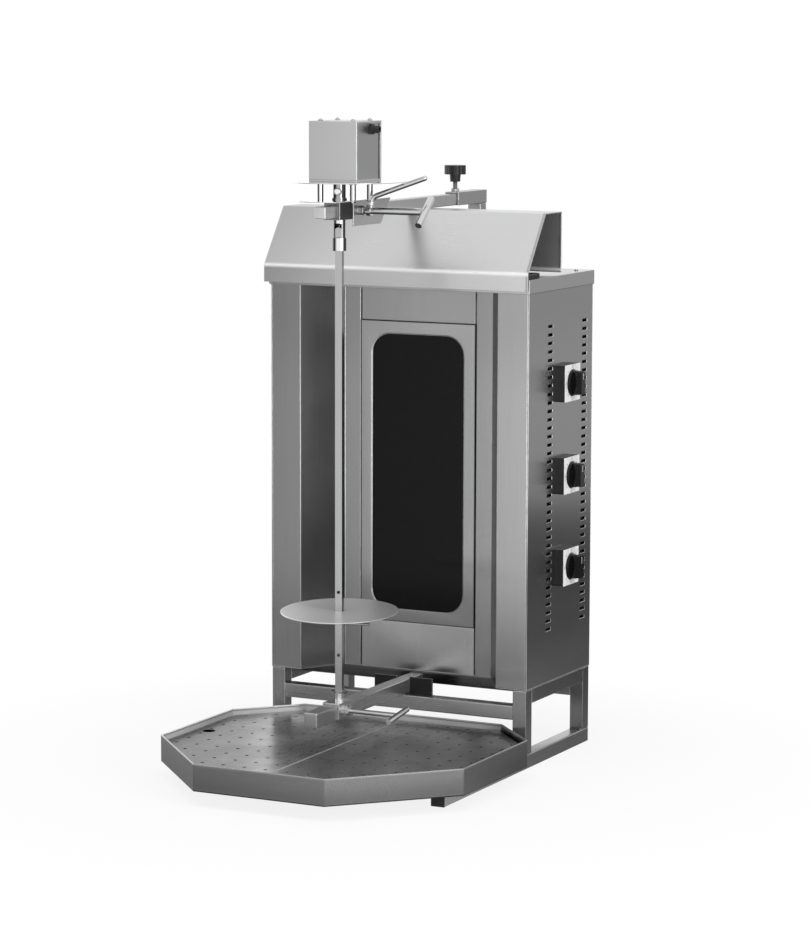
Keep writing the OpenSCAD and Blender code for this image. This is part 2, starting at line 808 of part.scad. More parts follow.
module gear_motor() placed() color("dimgray")
    difference() {
        union() {
            translate([0, spin_y, shield_z - motor_flange_h])
                cylinder(r = motor_flange_r, h = cover_z - shield_z + motor_flange_h);
            slab([-gearbox_half, spin_y - gearbox_half / 2, cover_z],
                 [gearbox_half, motor_y + gearbox_half, cover_z + gearbox_h]);
            translate([0, motor_y, cover_z + gearbox_h]) cylinder(r = motor_body_r, h = motor_body_h);
        }
        translate([0, spin_y, shield_z - 2 * motor_flange_h])
            cylinder(r = output_r + run_gap, h = cover_z - shield_z + 2 * motor_flange_h + shaft_end);
    }

// Coupling, with the spindle that passes down through the arm
skewer_turn = 12;                           // of the bar about its own axis, at rest
ring_h = 4;
coupling_top = shield_z - motor_flange_h - gap;
socket_r = 10;
socket_h = 50;
socket_top = arm_z - carriage_low - gap;
screw_head_r = 6;
screw_head_h = 3;
screw_drop = 12;                            // of the set screw below the coupling's top
ring_z = carriage_top + gap;

module at_spindle() translate([0, spin_y, 0]) rotate(skewer_turn) children();

module drive_coupling() placed() color("dimgray") at_spindle() {
    translate([0, 0, ring_z]) cylinder(r = ring_r, h = ring_h);
    translate([0, 0, ring_z]) cylinder(r = coupling_r, h = coupling_top - ring_z);
    translate([0, 0, socket_top]) cylinder(r = spindle_r, h = ring_z - socket_top);
    translate([0, 0, coupling_top])
        cylinder(r = output_r, h = cover_z - coupling_top + shaft_end - gap);
    translate([0, 0, coupling_top - screw_drop]) rotate([90, 0, 0])
        cylinder(r = screw_head_r, h = coupling_r + screw_head_h);
}

// Socket: a tube with a slot in front, where the skewer's tip swings in
tip_gap = 0.3;
socket_bore = skewer_w * sqrt(2) / 2 + tip_gap;
socket_roof = 6;

module skewer_socket() placed() color("silver") at_spindle()
    translate([0, 0, socket_top - socket_h]) difference() {
        cylinder(r = socket_r, h = socket_h);
        translate([0, 0, -cut]) cylinder(r = socket_bore, h = socket_h - socket_roof + cut);
        slab([-skewer_w / 2 - tip_gap, -2 * socket_r, -cut],
             [skewer_w / 2 + tip_gap, 0, socket_h - socket_roof]);
    }

collar_wall = 1.5;
collar_h = 22;
collar_drop = 2;                            // of the collar's foot below the socket

module locking_collar() placed() color("silver") at_spindle()
    translate([0, 0, socket_top - socket_h - collar_drop])
        ring(socket_r + run_gap + collar_wall, socket_r + run_gap, collar_h);

// Clamp screw with its T bar, and the bent lever that locks it
top_screw_x = 140;
t_bar_len = 65;
t_bar_r = 6;
t_bar_tilt = 41;                            // of the bar from level, at rest
rod_start = guard_x + guard_t + clamp_nut_h + gap;

module t_screw(tip_x, shoulder_x, end_x, tip_r, rod_r, bar_len, bar_r, tilt) {
    translate([tip_x, 0, 0]) along_x() cylinder(r = tip_r, h = shoulder_x - tip_x);
    translate([shoulder_x, 0, 0]) along_x() cylinder(r = rod_r, h = end_x - shoulder_x);
    translate([end_x, 0, 0]) rotate([tilt, 0, 0]) along_y()
        translate([0, 0, -bar_len / 2]) cylinder(r = bar_r, h = bar_len);
}

module top_clamp_screw() placed() color("silver") translate([0, clamp_y, clamp_z])
    t_screw(arm_w / 2 + gap, rod_start, top_screw_x, thread_r, screw_r, t_bar_len, t_bar_r,
            t_bar_tilt);

hub_x = 33;
hub_len = 8;
hub_r = 9;
lever_r = 4.4;
lever_thin = 0.05;                          // the bar draws thin in its bend
lever_lean = 14;                            // of the lever's foot from upright
lever_turn = 57;                            // of its bend
lever_lap_turn = 1;                         // of the bend into the straight lengths
lever_bend_r = 16;
lever_foot = 14.5;                          // from the hub's axis to the bend
lever_len = 94;                             // from the bend to the tip

module lever_bar() {
    cylinder(r = lever_r, h = lever_foot);
    translate([lever_bend_r, 0, lever_foot]) rotate([90, 0, 180]) rotate(-lever_lap_turn)
        rotate_extrude(angle = lever_turn + 2 * lever_lap_turn) translate([lever_bend_r, 0])
            circle(lever_r - lever_thin);
    translate([lever_bend_r * (1 - cos(lever_turn)), 0,
               lever_foot + lever_bend_r * sin(lever_turn)])
        rotate([0, lever_turn, 0]) {
            cylinder(r = lever_r, h = lever_len);
            translate([0, 0, lever_len]) sphere(lever_r);
        }
}

// The bore clears the screw along the lever's leaning foot too
module lock_lever() placed() color("silver") translate([hub_x, clamp_y, clamp_z])
    difference() {
        union() {
            along_x() cylinder(r = hub_r, h = hub_len);
            translate([hub_len / 2, 0, 0]) rotate([0, lever_lean, 0]) lever_bar();
        }
        translate([-hub_len, 0, 0]) along_x()
            cylinder(r = screw_r + run_gap, h = 3 * hub_len);
    }

// Skewer: a square bar with a pointed tip, a foot plate, and a pin that carries the disc
skewer_rise = 17;                           // of the bar's foot above the base frame
skewer_top = socket_top - socket_roof - gap;
tip_h = 13;
peg_r = 4;
peg_h = 20;
foot_r = 14.5;
foot_t = 3;
pin_r = 2.5;
pin_half = 53;
pin_drop = 20;                              // of the pin below the disc
hole_r = 3;
hole_offset = 54;                           // of the bar's holes from the pin
pin_z = disc_z - pin_drop;
skewer_low = base_h + skewer_rise;

module skewer() placed() color("silver") at_spindle()
    difference() {
        union() {
            translate([0, 0, skewer_low]) linear_extrude(skewer_top - tip_h - skewer_low)
                square(skewer_w, center = true);
            translate([0, 0, skewer_top - tip_h]) intersection() {
                linear_extrude(tip_h) square(skewer_w, center = true);
                cylinder(r1 = skewer_w, r2 = 0, h = tip_h);
            }
            translate([0, 0, skewer_low - foot_t]) cylinder(r = foot_r, h = foot_t);
            translate([-pin_half, 0, pin_z]) along_x() cylinder(r = pin_r, h = 2 * pin_half);
        }
        translate([0, 0, skewer_low - foot_t - cut])
            cylinder(r = peg_r + run_gap, h = peg_h + foot_t + cut);
        for (s = [-1, 1])
            translate([0, skewer_w, pin_z + s * hole_offset]) rotate([90, 0, 0])
                cylinder(r = hole_r, h = 2 * skewer_w);
    }

meat_disc_t = 2;
hub_h = 17;
disc_hub_r = 13;
disc_tilt = 2.4;                            // the loose disc tips on its pin
disc_play = 0.8;                            // from the disc to the bar on each side
disc_hole = skewer_w + 2 * disc_play;

module meat_disc() placed() color("whitesmoke") at_spindle()
    translate([0, 0, disc_z]) rotate([disc_tilt, 0, 0]) difference() {
        union() {
            cylinder(r = disc_r, h = meat_disc_t, $fn = 96);
            translate([0, 0, -hub_h + meat_disc_t / 2]) cylinder(r = disc_hub_r, h = hub_h);
        }
        translate([0, 0, -2 * hub_h]) linear_extrude(4 * hub_h) square(disc_hole, center = true);
    }

// Saddle: an inverted channel on the bottom arm, with the peg that the skewer turns on
saddle_t = 3;
saddle_half = tube_w / 2 + gap + saddle_t;
saddle_len = 50;
saddle_skirt = 24;                          // of the channel's sides below the arm's top
arm_top = bottom_arm_z + tube_w / 2;
saddle_top = arm_top + gap + saddle_t;
saddle_nut_r = 8;
saddle_nut_h = 8;
saddle_front = 6;                           // of the saddle's middle ahead of the axis
saddle_rise = 1;                            // of its screw above the arm's centre line
saddle_y = spin_y - saddle_front;
saddle_z = bottom_arm_z + saddle_rise;
peg_base_r = 7;
lower_thread_r = 4;

module saddle() placed() color("silver") {
    difference() {
        union() {
            slab([-saddle_half, saddle_y - saddle_len / 2, arm_top - saddle_skirt],
                 [saddle_half, saddle_y + saddle_len / 2, saddle_top]);
            translate([saddle_half, saddle_y, saddle_z]) along_x()
                cylinder(r = saddle_nut_r, h = saddle_nut_h, $fn = 6);
        }
        slab([-tube_w / 2 - gap, saddle_y - saddle_len, arm_top - 2 * saddle_skirt],
             [tube_w / 2 + gap, saddle_y + saddle_len, arm_top + gap]);
        translate([0, saddle_y, saddle_z]) along_x()
            cylinder(r = lower_thread_r + run_gap, h = 2 * saddle_half);
    }
    translate([0, spin_y, saddle_top])
        cylinder(r = peg_base_r, h = skewer_low - foot_t - gap - saddle_top);
    translate([0, spin_y, saddle_top])
        cylinder(r = peg_r, h = skewer_low + peg_h - gap - saddle_top);
}

lower_screw_x = 114;
lower_rod_r = 4.3;
lower_bar_len = 70;
lower_bar_r = 5;
lower_bar_tilt = 8;

module bottom_clamp_screw() placed() color("silver") translate([0, saddle_y, saddle_z])
    t_screw(tube_w / 2 + gap, saddle_half + saddle_nut_h + gap, lower_screw_x, lower_thread_r,
            lower_rod_r, lower_bar_len, lower_bar_r, lower_bar_tilt);

// Drip pan: an eight sided tray whose rear end passes between the front legs
pan_z = tube_w + gap;
pan_t = 1.5;
pan_half = pan_w / 2;
pan_front_half = 122;
pan_nose = 175;                             // depth of the slanting front part
pan_side_front = pan_reach - pan_nose;
pan_side_rear = 77;
pan_slope_share = 0.945;                    // sideways run of a slanting edge over its depth
pan_rear = 22;
pan_rear_half = pan_half - (pan_side_rear + pan_rear) * pan_slope_share;

function half_outline(inset) = [
    [0, -pan_reach + inset], [pan_front_half - inset / 2, -pan_reach + inset],
    [pan_half - inset, -pan_side_front + inset / 2],
    [pan_half - inset, -pan_side_rear - inset / 2],
    [pan_rear_half - inset / 2, pan_rear - inset], [0, pan_rear - inset]
];

module half_octagon(inset) polygon(half_outline(inset));

module octagon(inset)
    polygon(concat(
        [for (p = half_outline(inset)) if (p[0] > 0) p],
        [for (i = [4:-1:1]) [-half_outline(inset)[i][0], half_outline(inset)[i][1]]]));

hem_w = 3;
hem_h = 3;

module drip_pan() placed() color("silver") translate([0, 0, pan_z])
    difference() {
        linear_extrude(pan_h) octagon(0);
        translate([0, 0, pan_t]) linear_extrude(pan_h - pan_t - hem_h) octagon(pan_t);
        translate([0, 0, pan_t + cut]) linear_extrude(pan_h) octagon(hem_w);
    }

tray_gap = 3;                               // from the tray to the pan's hem
tray_drop = 11;                             // of the tray below the pan's rim
tray_t = 1.5;
tray_seam = 0.5;
tray_inset = hem_w + tray_gap;
tray_z = pan_z + pan_h - tray_drop - tray_t;
tray_foot = pan_z + pan_t;
finger_r = 11;
finger_in = 32;                             // from the finger hole to the pan's side
finger_x = pan_half - finger_in;
tray_margin = 14;                           // from the tray's edge to its outer holes
tray_rows = ceil((pan_reach + pan_rear) / tray_pitch / 2);
tray_cols = ceil(pan_half / tray_pitch);
tray_mid_y = (pan_rear - pan_reach) / 2;

module tray_outline(inset)
    intersection() {
        half_octagon(inset);
        translate([tray_seam + inset - tray_inset, -2 * pan_reach]) square([pan_w, 4 * pan_reach]);
    }

// One half of the perforated tray: a plate with turned down edges that stand in the pan
module tray_half(finger) {
    difference() {
        translate([0, 0, tray_foot]) linear_extrude(tray_z + tray_t - tray_foot)
            tray_outline(tray_inset);
        translate([0, 0, tray_foot - cut]) linear_extrude(tray_z - tray_foot + cut)
            tray_outline(tray_inset + tray_t);
        translate([0, 0, tray_z - cut]) linear_extrude(tray_t + 2 * cut)
            intersection() {
                tray_outline(tray_inset + tray_margin);
                for (i = [0:tray_cols], j = [-tray_rows:tray_rows])
                    translate([(i + 1 / 2) * tray_pitch, tray_mid_y + j * tray_pitch])
                        circle(d = tray_hole_d, $fn = 24);
            }
        if (finger)
            translate([finger_x, spin_y, tray_z - cut])
                cylinder(r = finger_r, h = tray_t + 2 * cut);
    }
}

module tray_left() placed() color("gray") mirror([1, 0, 0]) tray_half(true);

module tray_right() placed() color("gray") tray_half(false);

base_legs();
bottom_side_rails();
top_rails();
mid_rail();
cross_rail();
arm_support();
tube_plugs();
bottom_arm();
floor_panel();
back_panel();
side_panel_left();
side_panel_right();
front_casing_left();
front_casing_right();
top_blank_panel();
window_frame();
window_glass();
lower_panel();
cap();
hood();
hood_brackets();
frame_bolts();
heater_elements();
heater_tray();
insulation_board();
terminal_block();
mains_gland();
switch_boxes();
switch_plates();
rotary_switches();
knob_upper();
knob_middle();
knob_lower();
rear_post();
arm_bracket();
star_knob();
top_arm();
carriage();
guard_plate();
shield_plate();
motor_posts();
shield_disc();
motor_base();
motor_cover();
motor_side_panels();
dome_nuts();
motor_gland();
gear_motor();
drive_coupling();
skewer_socket();
locking_collar();
top_clamp_screw();
lock_lever();
skewer();
meat_disc();
saddle();
bottom_clamp_screw();
drip_pan();
tray_left();
tray_right();
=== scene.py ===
import math
import bpy
from mathutils import Matrix, Vector


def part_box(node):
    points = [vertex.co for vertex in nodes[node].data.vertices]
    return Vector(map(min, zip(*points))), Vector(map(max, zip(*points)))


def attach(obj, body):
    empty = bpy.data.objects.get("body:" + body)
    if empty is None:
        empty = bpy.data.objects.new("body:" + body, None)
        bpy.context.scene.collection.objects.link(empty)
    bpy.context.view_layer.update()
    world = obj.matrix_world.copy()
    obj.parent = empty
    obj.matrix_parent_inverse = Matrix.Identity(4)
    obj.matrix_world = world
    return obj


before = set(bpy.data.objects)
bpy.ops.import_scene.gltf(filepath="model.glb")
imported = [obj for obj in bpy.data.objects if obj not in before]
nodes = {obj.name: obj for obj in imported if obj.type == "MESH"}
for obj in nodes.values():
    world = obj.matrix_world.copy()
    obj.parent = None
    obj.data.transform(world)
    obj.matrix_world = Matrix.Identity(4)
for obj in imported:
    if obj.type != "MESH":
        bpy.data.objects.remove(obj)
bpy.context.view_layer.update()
scene = bpy.context.scene
scene.view_settings.view_transform = "Standard"

# The camera stands to the right of the grill, a little above its top, 5.8 m away.
# Its place and its long lens come from the straight edges of the cabinet, frame and pan.
PHOTO_SIZE = (811, 945)
FOCAL_PIXELS = 3352.9
SENSOR_MM = 36.0
CAMERA_PLACE = (2.60866, -5.08121, 1.27421)
CAMERA_YAW = 26.65
CAMERA_DOWN = 7.59
CAMERA_ROLL = 0.15
camera_data = bpy.data.cameras.new("photo_camera")
camera_data.sensor_width = SENSOR_MM
camera_data.lens = FOCAL_PIXELS * SENSOR_MM / max(PHOTO_SIZE)
camera_data.clip_start = 0.1
camera_data.clip_end = 60
camera = bpy.data.objects.new("photo_camera", camera_data)
camera.matrix_world = (
    Matrix.Translation(CAMERA_PLACE)
    @ Matrix.Rotation(math.radians(CAMERA_YAW), 4, "Z")
    @ Matrix.Rotation(math.radians(90 - CAMERA_DOWN), 4, "X")
    @ Matrix.Rotation(math.radians(CAMERA_ROLL), 4, "Z")
)
scene.collection.objects.link(camera)
scene.camera = camera

# A white studio. What the steel sees is calmer than white: bright to the sides and above,
# greyer behind the grill at the right, as in a room with one open end.
WHITE = (1, 1, 1, 1)
UP = (0, 0, 1)
BACK_RIGHT = (0.4485, 0.8938, 0)
LEFT = (-0.8938, 0.4485, 0)
GLINT_RIGHT = (0.8944, -0.4472, 0)
GLINT_FRONT = (-0.40, -0.80, 0.44)
GLINT_STEPS = [(0.955, 1.0), (0.985, 3.6)]
ROOM_TONES = [(-1.0, 0.66), (-0.55, 0.90), (0.0, 1.0), (0.45, 0.86), (0.80, 0.52), (1.0, 0.44)]
LEFT_TONES = [(0.40, 1.0), (0.75, 1.55)]
OVERHEAD_SHARE = [(0.0, 0.0), (0.12, 0.35), (0.55, 1.0)]
CEILING_TONE = 0.82
PLAIN_LIGHT = 0.42
GLINT_FROM = 0.9
MIX_TONE_A = 6
MIX_TONE_B = 7
MIX_TONE_OUT = 2


def node(tree, kind, **inputs):
    made = tree.nodes.new(kind)
    for name, value in inputs.items():
        made.inputs[name.replace("_", " ")].default_value = value
    return made


def maths(tree, kind, operation, *values):
    """A maths node of a kind. Each value is another node's socket, or is set as it stands."""
    made = tree.nodes.new(kind)
    made.operation = operation
    for socket, value in zip(made.inputs, values):
        if isinstance(value, bpy.types.NodeSocket):
            tree.links.new(value, socket)
        else:
            socket.default_value = value
    return made.outputs


def dot_with(tree, vector, direction):
    return maths(tree, "ShaderNodeVectorMath", "DOT_PRODUCT", vector, direction)["Value"]


def either(tree, first, second):
    return maths(tree, "ShaderNodeMath", "MAXIMUM", first, second)[0]


def tone_steps(tree, value, low, high, stops):
    """Turns a value between low and high into a grey, by stops of (value, grey)."""
    part = node(tree, "ShaderNodeMapRange", From_Min=low, From_Max=high)
    tree.links.new(value, part.inputs["Value"])
    ramp = tree.nodes.new("ShaderNodeValToRGB")
    ramp.color_ramp.interpolation = "EASE"
    while len(ramp.color_ramp.elements) < len(stops):
        ramp.color_ramp.elements.new(0.5)
    for stop, (at, grey) in zip(ramp.color_ramp.elements, stops):
        stop.position = (at - low) / (high - low)
        stop.color = (grey, grey, grey, 1)
    tree.links.new(part.outputs[0], ramp.inputs[0])
    return ramp.outputs[0]


def one_tone(tree, grey):
    made = tree.nodes.new("ShaderNodeRGB")
    made.outputs[0].default_value = (grey, grey, grey, 1)
    return made.outputs[0]


def blend_tones(tree, share, first, second):
    made = tree.nodes.new("ShaderNodeMix")
    made.data_type = "RGBA"
    tree.links.new(share, made.inputs[0])
    tree.links.new(first, made.inputs[MIX_TONE_A])
    tree.links.new(second, made.inputs[MIX_TONE_B])
    return made.outputs[MIX_TONE_OUT]


def times(tree, first, second):
    made = node(tree, "ShaderNodeMix", Factor=1.0)
    made.data_type = "RGBA"
    made.blend_type = "MULTIPLY"
    tree.links.new(first, made.inputs[MIX_TONE_A])
    tree.links.new(second, made.inputs[MIX_TONE_B])
    return made.outputs[MIX_TONE_OUT]


def mix_shaders(tree, share, first, second):
    made = tree.nodes.new("ShaderNodeMixShader")
    for socket, source in zip(made.inputs, (share, first, second)):
        tree.links.new(source, socket)
    return made.outputs[0]


def room_tone(tree, vector):
    """What the steel sees in a direction: the room, paler at the left, and a strip lamp."""
    around = tone_steps(tree, dot_with(tree, vector, BACK_RIGHT), -1.0, 1.0, ROOM_TONES)
    leftward = tone_steps(tree, dot_with(tree, vector, LEFT), -1.0, 1.0, LEFT_TONES)
    glint = tone_steps(tree, dot_with(tree, vector, GLINT_RIGHT), GLINT_FROM, 1.0, GLINT_STEPS)
    return times(tree, times(tree, around, leftward), glint)


world = bpy.data.worlds.new("studio")
scene.world = world
world.use_nodes = True
sky = world.node_tree
sky.nodes.clear()
plain_light = node(sky, "ShaderNodeBackground", Color=WHITE, Strength=PLAIN_LIGHT)
white_back = node(sky, "ShaderNodeBackground", Color=WHITE, Strength=1.0)
seen_in_steel = node(sky, "ShaderNodeBackground", Strength=1.0)
direction = node(sky, "ShaderNodeTexCoord").outputs["Generated"]
overhead = tone_steps(sky, dot_with(sky, direction, UP), 0.0, 1.0, OVERHEAD_SHARE)
room_and_ceiling = blend_tones(sky, overhead, room_tone(sky, direction),
                               one_tone(sky, CEILING_TONE))
front_lamp = tone_steps(sky, dot_with(sky, direction, GLINT_FRONT), GLINT_FROM, 1.0, GLINT_STEPS)
sky.links.new(times(sky, room_and_ceiling, front_lamp), seen_in_steel.inputs["Color"])
sky_rays = node(sky, "ShaderNodeLightPath").outputs
sky_seen = either(sky, sky_rays["Is Camera Ray"], sky_rays["Is Transmission Ray"])
surround = mix_shaders(sky, sky_rays["Is Glossy Ray"], plain_light.outputs[0],
                       seen_in_steel.outputs[0])
sky_out = node(sky, "ShaderNodeOutputWorld")
sky.links.new(mix_shaders(sky, sky_seen, surround, white_back.outputs[0]), sky_out.inputs[0])

# Three soft boxes light the paint, the plastic and the wiped steel: one over the grill, one
# at each side. They don't show in the steel, whose bright bands come from the studio.


def soft_box(name, place, aim, width, height, watts):
    light = bpy.data.lights.new(name, "AREA")
    light.shape = "RECTANGLE"
    light.size = width
    light.size_y = height
    light.energy = watts
    lamp = bpy.data.objects.new(name, light)
    lamp.location = place
    lamp.rotation_euler = (Vector(aim) - Vector(place)).to_track_quat("-Z", "Y").to_euler()
    lamp.visible_glossy = False
    scene.collection.objects.link(lamp)


soft_box("top_box", place=(0.2, -1.2, 3.4), aim=(0, 0, 0.8), width=2.6, height=1.8, watts=42)
soft_box("left_box", place=(-2.6, -2.4, 1.5), aim=(0, 0, 0.6), width=1.2, height=2.2, watts=26)
soft_box("right_box", place=(3.0, -1.0, 1.9), aim=(0.1, 0, 0.6), width=0.9, height=2.0,
         watts=43)

# The floor is white to the eye, keeps a soft shadow near the grill, and shows in the steel
# as a grey patch round the grill with a paler floor beyond it.
FLOOR_HALF = 12.0
FLOOR_Z = -0.0004
FLOOR_PAINT = (0.90, 0.90, 0.90, 1)
FLOOR_ROUGH = 0.9
FLOOR_WHITENESS = [(0.40, 0.86), (1.0, 1.0)]
PATCH_MIDDLE = (0.46, 0.66, 0)
PATCH_RADIUS = 2.6
PATCH_BLUR = 0.08
NEAR_REACH = 2.4
NEAR_TONES = [(-2.4, 0.34), (-0.75, 0.42), (-0.45, 0.60), (-0.20, 0.64), (0.30, 0.26), (1.2, 0.12)]
NEAR_LEFT_TONES = [(-0.55, 1.0), (0.2, 0.62)]


def flat_board(name, corners):
    mesh = bpy.data.meshes.new(name)
    mesh.from_pydata(corners, [], [(0, 1, 2, 3)])
    board = bpy.data.objects.new(name, mesh)
    scene.collection.objects.link(board)
    paint = bpy.data.materials.new(name)
    paint.use_nodes = True
    mesh.materials.append(paint)
    return board, paint.node_tree


floor_tree = flat_board("floor", [
    (sx * FLOOR_HALF, sy * FLOOR_HALF, FLOOR_Z)
    for sx, sy in ((-1, -1), (1, -1), (1, 1), (-1, 1))])[1]
floor_shader = floor_tree.nodes["Principled BSDF"]
floor_shader.inputs["Base Color"].default_value = FLOOR_PAINT
floor_shader.inputs["Roughness"].default_value = FLOOR_ROUGH
floor_rays = node(floor_tree, "ShaderNodeLightPath").outputs
on_floor = node(floor_tree, "ShaderNodeTexCoord").outputs["Object"]
from_middle = maths(floor_tree, "ShaderNodeVectorMath", "LENGTH", on_floor)["Value"]
whiteness = tone_steps(floor_tree, from_middle, 0.0, 2.0, FLOOR_WHITENESS)
floor_seen = either(floor_tree, floor_rays["Is Camera Ray"], floor_rays["Is Transmission Ray"])
white_share = maths(floor_tree, "ShaderNodeMath", "MULTIPLY", floor_seen, whiteness)[0]
glow_share = either(floor_tree, white_share, floor_rays["Is Glossy Ray"])
near_tone = times(
    floor_tree,
    tone_steps(floor_tree, dot_with(floor_tree, on_floor, BACK_RIGHT), -NEAR_REACH, NEAR_REACH,
               NEAR_TONES),
    tone_steps(floor_tree, dot_with(floor_tree, on_floor, LEFT), -1.0, 1.0, NEAR_LEFT_TONES))
outward = maths(floor_tree, "ShaderNodeVectorMath", "NORMALIZE", on_floor)["Vector"]
far_tone = room_tone(floor_tree, outward)
from_patch = maths(floor_tree, "ShaderNodeVectorMath", "DISTANCE", on_floor, PATCH_MIDDLE)["Value"]
beyond = tone_steps(floor_tree, from_patch, 0.0, 2 * PATCH_RADIUS,
                    [(PATCH_RADIUS - PATCH_BLUR, 0.0), (PATCH_RADIUS + PATCH_BLUR, 1.0)])
steel_tone = blend_tones(floor_tree, beyond, near_tone, far_tone)
floor_glow = node(floor_tree, "ShaderNodeEmission", Strength=1.0)
floor_tree.links.new(blend_tones(floor_tree, floor_rays["Is Glossy Ray"],
                                 one_tone(floor_tree, 1.0), steel_tone),
                     floor_glow.inputs["Color"])
floor_tree.links.new(
    mix_shaders(floor_tree, glow_share, floor_shader.outputs[0], floor_glow.outputs[0]),
    floor_tree.nodes["Material Output"].inputs["Surface"])

# A tall paper board in front of the grill shows only in the steel. It darkens to the left,
# so the wings and the strips by the window grow paler from left to right.
BOARD_Y = -1.35
BOARD_TOP = 2.3
BOARD_LEFT = -3.2
BOARD_RIGHT = 0.9
BOARD_TONES = [(-1.35, 0.16), (-0.8, 0.56), (-0.2, 1.0)]
board, board_tree = flat_board("paper_board", [
    (BOARD_LEFT, BOARD_Y, 0.0), (BOARD_RIGHT, BOARD_Y, 0.0),
    (BOARD_RIGHT, BOARD_Y, BOARD_TOP), (BOARD_LEFT, BOARD_Y, BOARD_TOP)])
on_board = node(board_tree, "ShaderNodeTexCoord").outputs["Object"]
board_tone = tone_steps(board_tree, dot_with(board_tree, on_board, (1, 0, 0)), -1.5, 0.3,
                        BOARD_TONES)
board_glow = node(board_tree, "ShaderNodeEmission", Strength=1.0)
board_tree.links.new(board_tone, board_glow.inputs["Color"])
board_tree.links.new(board_glow.outputs[0], board_tree.nodes["Material Output"].inputs["Surface"])
for sight in ("visible_camera", "visible_diffuse", "visible_transmission", "visible_shadow",
              "visible_volume_scatter"):
    setattr(board, sight, False)

# Base frame: legs and rails of 25 mm square stainless tube with 2 mm walls, cut square,
# welded, ground flush on the outside and brushed along their length.
MIX_NUMBER_A = 2
MIX_NUMBER_B = 3
BEND_STARTS = 0.995
HIGHLIGHT_ROUGH = 0.10
QUARTER_TURN = 0.25
STREAK_ALONG = 9.0
STREAK_DEEP = 0.0004
NOISE_LOW = 0.3
NOISE_HIGH = 0.7
BAND_ALONG = 1.2
BAND_ACROSS = 60.0
COLD_TINT = 1.01
SAME_POINT = 0.00001
SHARP_EDGE = math.radians(35)


def base_tone(tree):
    return tree.nodes["Principled BSDF"].inputs["Base Color"].links[0].from_socket


def repaint(tree, tone):
    tree.links.new(tone, tree.nodes["Principled BSDF"].inputs["Base Color"])


def round_bends(tree, shader, bump, bend, edge_highlight, turn):
    """Lets bends and cut edges shine as rounded ones do, and paints a highlight along them."""
    rounded = node(tree, "ShaderNodeBevel", Radius=bend)
    rounded.samples = 6
    tree.links.new(rounded.outputs[0], bump.inputs["Normal"])
    flat = node(tree, "ShaderNodeNewGeometry").outputs["True Normal"]
    on_edge = node(tree, "ShaderNodeMapRange", From_Min=BEND_STARTS, From_Max=turn,
                   To_Min=0.0, To_Max=edge_highlight)
    tree.links.new(dot_with(tree, rounded.outputs[0], flat), on_edge.inputs["Value"])
    # Near an edge the base colour is blended towards white: a painted highlight.
    repaint(tree, blend_tones(tree, on_edge.outputs[0], base_tone(tree), one_tone(tree, 1.0)))
    smoother = tree.nodes.new("ShaderNodeMix")
    tree.links.new(on_edge.outputs[0], smoother.inputs[0])
    tree.links.new(shader.inputs["Roughness"].links[0].from_socket, smoother.inputs[MIX_NUMBER_A])
    smoother.inputs[MIX_NUMBER_B].default_value = HIGHLIGHT_ROUGH
    tree.links.new(smoother.outputs[0], shader.inputs["Roughness"])


